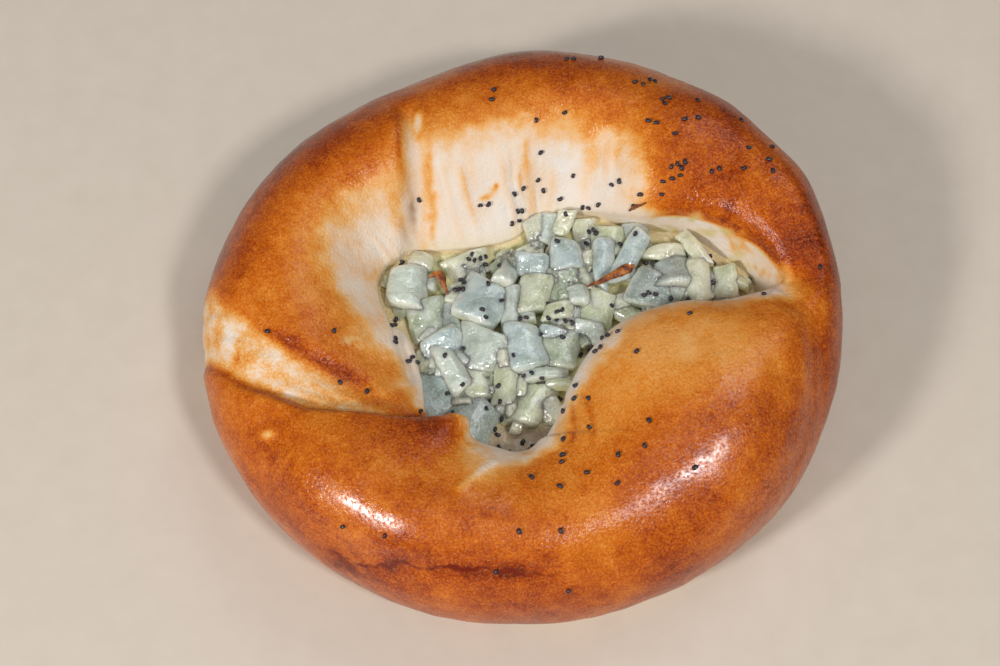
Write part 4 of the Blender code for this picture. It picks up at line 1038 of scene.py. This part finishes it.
SINGLE_SEEDS = (
    (-5.3, 40.2), (-5.7, 38.0), (2.5, 34.4), (7.8, 35.7), (3.4, 29.8), (2.9, 25.9), (0.1, 24.2),
    (3.9, 24.5), (9.5, 26.9), (8.4, 47.6), (9.7, 47.7), (14.9, 49.0), (21.0, 41.9), (22.5, 41.5),
    (26.3, 36.7), (23.2, 33.1), (24.6, 32.6), (27.9, 30.3), (29.8, 33.2), (32.5, 37.9), (32.3, 33.6),
    (18.0, 23.8), (16.6, 23.7), (21.7, 20.8), (20.6, 19.4), (14.3, 21.7), (-7.9, 20.8), (-6.4, 21.1),
    (40.5, 34.4), (41.4, 27.8), (45.9, 28.8), (44.9, 25.2), (45.5, 22.8), (34.5, 23.3), (35.9, 23.8),
    (40.3, 23.5), (28.8, 22.9), (27.4, 22.5), (25.7, 22.2), (25.5, 20.3), (53.4, 5.0), (42.5, 8.3),
    (-19.2, 21.2), (-45.4, -7.3), (-33.8, -6.7), (-32.5, -16.1), (-27.7, -17.6), (-30.9, -43.1),
    (-23.6, -45.5), (-1.0, -45.5), (6.0, -45.3), (-4.9, -51.1), (7.4, -53.1), (1.2, -35.6), (6.0, -37.6),
    (10.6, -35.2), (15.9, -32.3), (6.6, -31.4), (6.4, -32.8), (15.6, -37.3), (28.8, -34.6), (20.4, -30.9),
    (8.9, -20.0), (11.3, -20.5), (19.7, -12.9), (29.3, -5.4), (43.0, -0.4),
    (-6.4, 5.4), (-4.0, 2.3), (-7.5, -0.2), (4.6, 2.1), (-1.7, -8.7), (-10.7, -6.9), (-14.1, -8.9),
    (-11.0, -14.3), (-13.7, -15.5), (-12.6, -19.2), (20.9, 15.3), (18.1, 14.4), (26.5, 14.8),
    (34.7, 11.7), (35.8, 11.6), (35.0, 6.2), (6.4, 13.7), (12.0, 14.9), (6.7, -15.3), (9.2, -17.2),
    (5.4, -22.0), (7.0, -21.7), (11.2, -26.4), (21.3, -26.4), (6.8, -28.1), (-14.4, -21.3), (30.7, 3.0),
)
SEED_DRAW, SEED_ROWS, SEED_COLUMNS = 5, 7, 8
SEED_LENGTH, SEED_WIDTH, SEED_SUNK = 1.1, 0.86, 0.12


def poppy_seed():
    """Rings of a seed 1 long: an egg whose radius dips on one side of its middle, bent round the dip."""
    along = np.linspace(0.06, math.pi - 0.06, SEED_ROWS)[:, None]
    turn = np.arange(SEED_COLUMNS) * 2 * math.pi / SEED_COLUMNS
    x = 0.5 * np.cos(along) + 0 * turn
    dip = 1 - 0.34 * np.exp(-((x / 0.2) ** 2)) * np.clip(np.cos(turn), 0, 1) ** 2
    radius = 0.5 * np.sin(along) ** 0.8 * dip
    return np.stack([x, radius * np.cos(turn) + 0.28 * x**2, radius * np.sin(turn) * 0.9], -1)


ground = tree_of([dough_mesh, bed_mesh, onion_mesh])
draw = np.random.RandomState(SEED_DRAW)
places = list(SINGLE_SEEDS)
for x, y, across, along, turn, count in SEED_PATCHES:
    spin = Matrix.Rotation(math.radians(turn), 2)
    for _ in range(count):
        offset = spin @ Vector((draw.normal() * across, draw.normal() * along))
        places.append((x + offset.x, y + offset.y))
form = (poppy_seed() * (SEED_LENGTH, SEED_WIDTH, SEED_WIDTH))[:, ::-1]
form = np.vstack([form.reshape(-1, 3), form[0].mean(0), form[-1].mean(0)])
seeds, seed_tones, laid = [], [], []
for x, y in places:
    turn = draw.uniform(0, 2 * math.pi)
    place, normal, _, _ = ground.ray_cast(Vector((x, y, DROP_HEIGHT)) * MM, Vector((0, 0, -1)))
    if place is None or any((place - other).length < 0.8 * SEED_LENGTH * MM for other in laid):
        continue
    laid.append(place)
    stand = np.array(normal.to_track_quat("Z", "X").to_matrix() @ Matrix.Rotation(turn, 3, "Z"))
    size = draw.uniform(0.88, 1.08)
    rest = np.array(place) / MM + np.array(normal) * (SEED_WIDTH * 0.45 * size - SEED_SUNK)
    seeds.append(form * size @ stand.T + rest)
    seed_tones += [draw.uniform(0, 1)] * len(form)


def seed_finish():
    """Poppy seed: blue black to plum, with a dull shine."""
    seed = Finish("poppy_seed")
    tone = seed.mask("tone")
    colour = seed.blend(tone, srgb(20, 26, 42), srgb(44, 28, 38))
    return seed.shade(
        Base_Color=colour, Roughness=0.42, Coat_Weight=0.35, Coat_Roughness=0.2,
        Normal=seed.bump(seed.noise(0.16), 0.05, 0.7),
    )


seed_mesh = copies_mesh("poppy_seeds", seeds, *lofted_faces(SEED_ROWS, SEED_COLUMNS))
set_masks(seed_mesh, tone=seed_tones)
add_piece("poppy_seeds", seed_mesh, seed_finish())

# Crumbs: meal that the dough was baked on, and flakes of crust. They are dry and pale, and cling
# along the foot of the roll.
CRUMB_COUNT, CRUMB_DRAW, CRUMB_SIZE = 300, 81, (0.25, 0.85)


def crumb(draw):
    """A coarse lump: the cube grid of two steps drawn to a ball, each corner at its own distance."""
    away = crumb_points / np.linalg.norm(crumb_points, axis=1)[:, None]
    return away * draw.uniform(0.6, 1.2, (len(away), 1)) * (1, draw.uniform(0.6, 1), draw.uniform(0.5, 0.9))


crumb_points, crumb_quads = cube_grid(2)
draw = np.random.RandomState(CRUMB_DRAW)
low_rows = np.arange(UNDERSIDE_ROWS - 1, UNDERSIDE_ROWS + LOWER_SIDE_ROWS // 2)
crumbs = []
for _ in range(CRUMB_COUNT):
    row = low_rows[int(len(low_rows) * draw.uniform() ** 1.4)]
    place = rings[row, draw.randint(COLUMNS)]
    size = draw.uniform(*CRUMB_SIZE) * draw.uniform(0.5, 1)
    lump = turned(crumb(draw) * size / 2, *draw.uniform(0, 360, 3)) + place
    lump[:, 2] += max(0.0, 0.05 - lump[:, 2].min())
    crumbs.append(lump)


def crumb_finish():
    """Meal and crumb: dry, pale yellow to light brown."""
    meal = Finish("crumbs")
    colour = meal.blend((meal.noise(3.0) - 0.3) * 2.4, srgb(236, 214, 158), srgb(206, 158, 88))
    return meal.shade(Base_Color=colour, Roughness=0.8)


crumb_mesh = copies_mesh("crumbs", crumbs, crumb_quads)
add_piece("crumbs", crumb_mesh, crumb_finish())

# The floor, camera and light: a plain pale surface, two small bright lamps in front that the crust
# mirrors, a broad warm fill, a lamp above and a cool one behind.
floor_mesh = bpy.data.meshes.new("floor")
floor_mesh.from_pydata([(-1.5, -1.5, 0), (1.5, -1.5, 0), (1.5, 1.5, 0), (-1.5, 1.5, 0)], [], [(0, 1, 2, 3)])
floor = bpy.data.objects.new("floor", floor_mesh)
bpy.context.scene.collection.objects.link(floor)
floor_paint = Finish("floor_paint")
speckle = floor_paint.blend(floor_paint.noise(6.0), srgb(206, 195, 180), srgb(214, 204, 190))
floor_mesh.materials.append(floor_paint.shade(Base_Color=speckle, Roughness=0.7))

CAMERA_ELEVATION, CAMERA_DISTANCE, CAMERA_AIM = math.radians(66.0), 0.361, Vector((-0.0042, 0.0046, 0))
CAMERA_SENSOR, CAMERA_LENS = 36, 67.14
camera_data = bpy.data.cameras.new("camera")
camera_data.sensor_width = CAMERA_SENSOR
camera_data.lens = CAMERA_LENS
camera = bpy.data.objects.new("camera", camera_data)
back_from_aim = Vector((0, -math.cos(CAMERA_ELEVATION), math.sin(CAMERA_ELEVATION)))
camera.location = CAMERA_AIM + back_from_aim * CAMERA_DISTANCE
camera.rotation_euler = (math.pi / 2 - CAMERA_ELEVATION, 0, 0)
bpy.context.scene.collection.objects.link(camera)
bpy.context.scene.camera = camera


def add_lamp(name, direction, distance, size, power, colour):
    """A square soft lamp in a direction from the roll, turned to it."""
    lamp_data = bpy.data.lights.new(name, "AREA")
    lamp_data.energy = power
    lamp_data.size = size
    lamp_data.color = colour
    lamp = bpy.data.objects.new(name, lamp_data)
    lamp.location = Vector(direction).normalized() * distance
    lamp.rotation_euler = (-lamp.location).to_track_quat("-Z", "Y").to_euler()
    bpy.context.scene.collection.objects.link(lamp)


add_lamp("front_left_lamp", (-0.62, -0.52, 0.59), 0.9, 0.12, 4.5, (1.0, 0.98, 0.98))
add_lamp("front_right_lamp", (0.38, -0.44, 0.81), 0.9, 0.12, 3.0, (1.0, 0.98, 0.98))
add_lamp("front_fill", (0.1, -0.88, 0.47), 1.0, 0.8, 0.7, (1.0, 0.86, 0.70))
add_lamp("top_lamp", (-0.1, -0.1, 1.0), 0.9, 0.4, 0.4, (0.96, 0.98, 1.0))
add_lamp("back_window", (0.35, 0.42, 0.84), 0.9, 0.34, 1.1, (0.9, 0.95, 1.0))
world = bpy.data.worlds.new("world")
bpy.context.scene.world = world
world.use_nodes = True
world.node_tree.nodes["Background"].inputs["Color"].default_value = (1.0, 0.94, 0.88, 1)
world.node_tree.nodes["Background"].inputs["Strength"].default_value = 0.15
bpy.context.scene.view_settings.view_transform = "Standard"
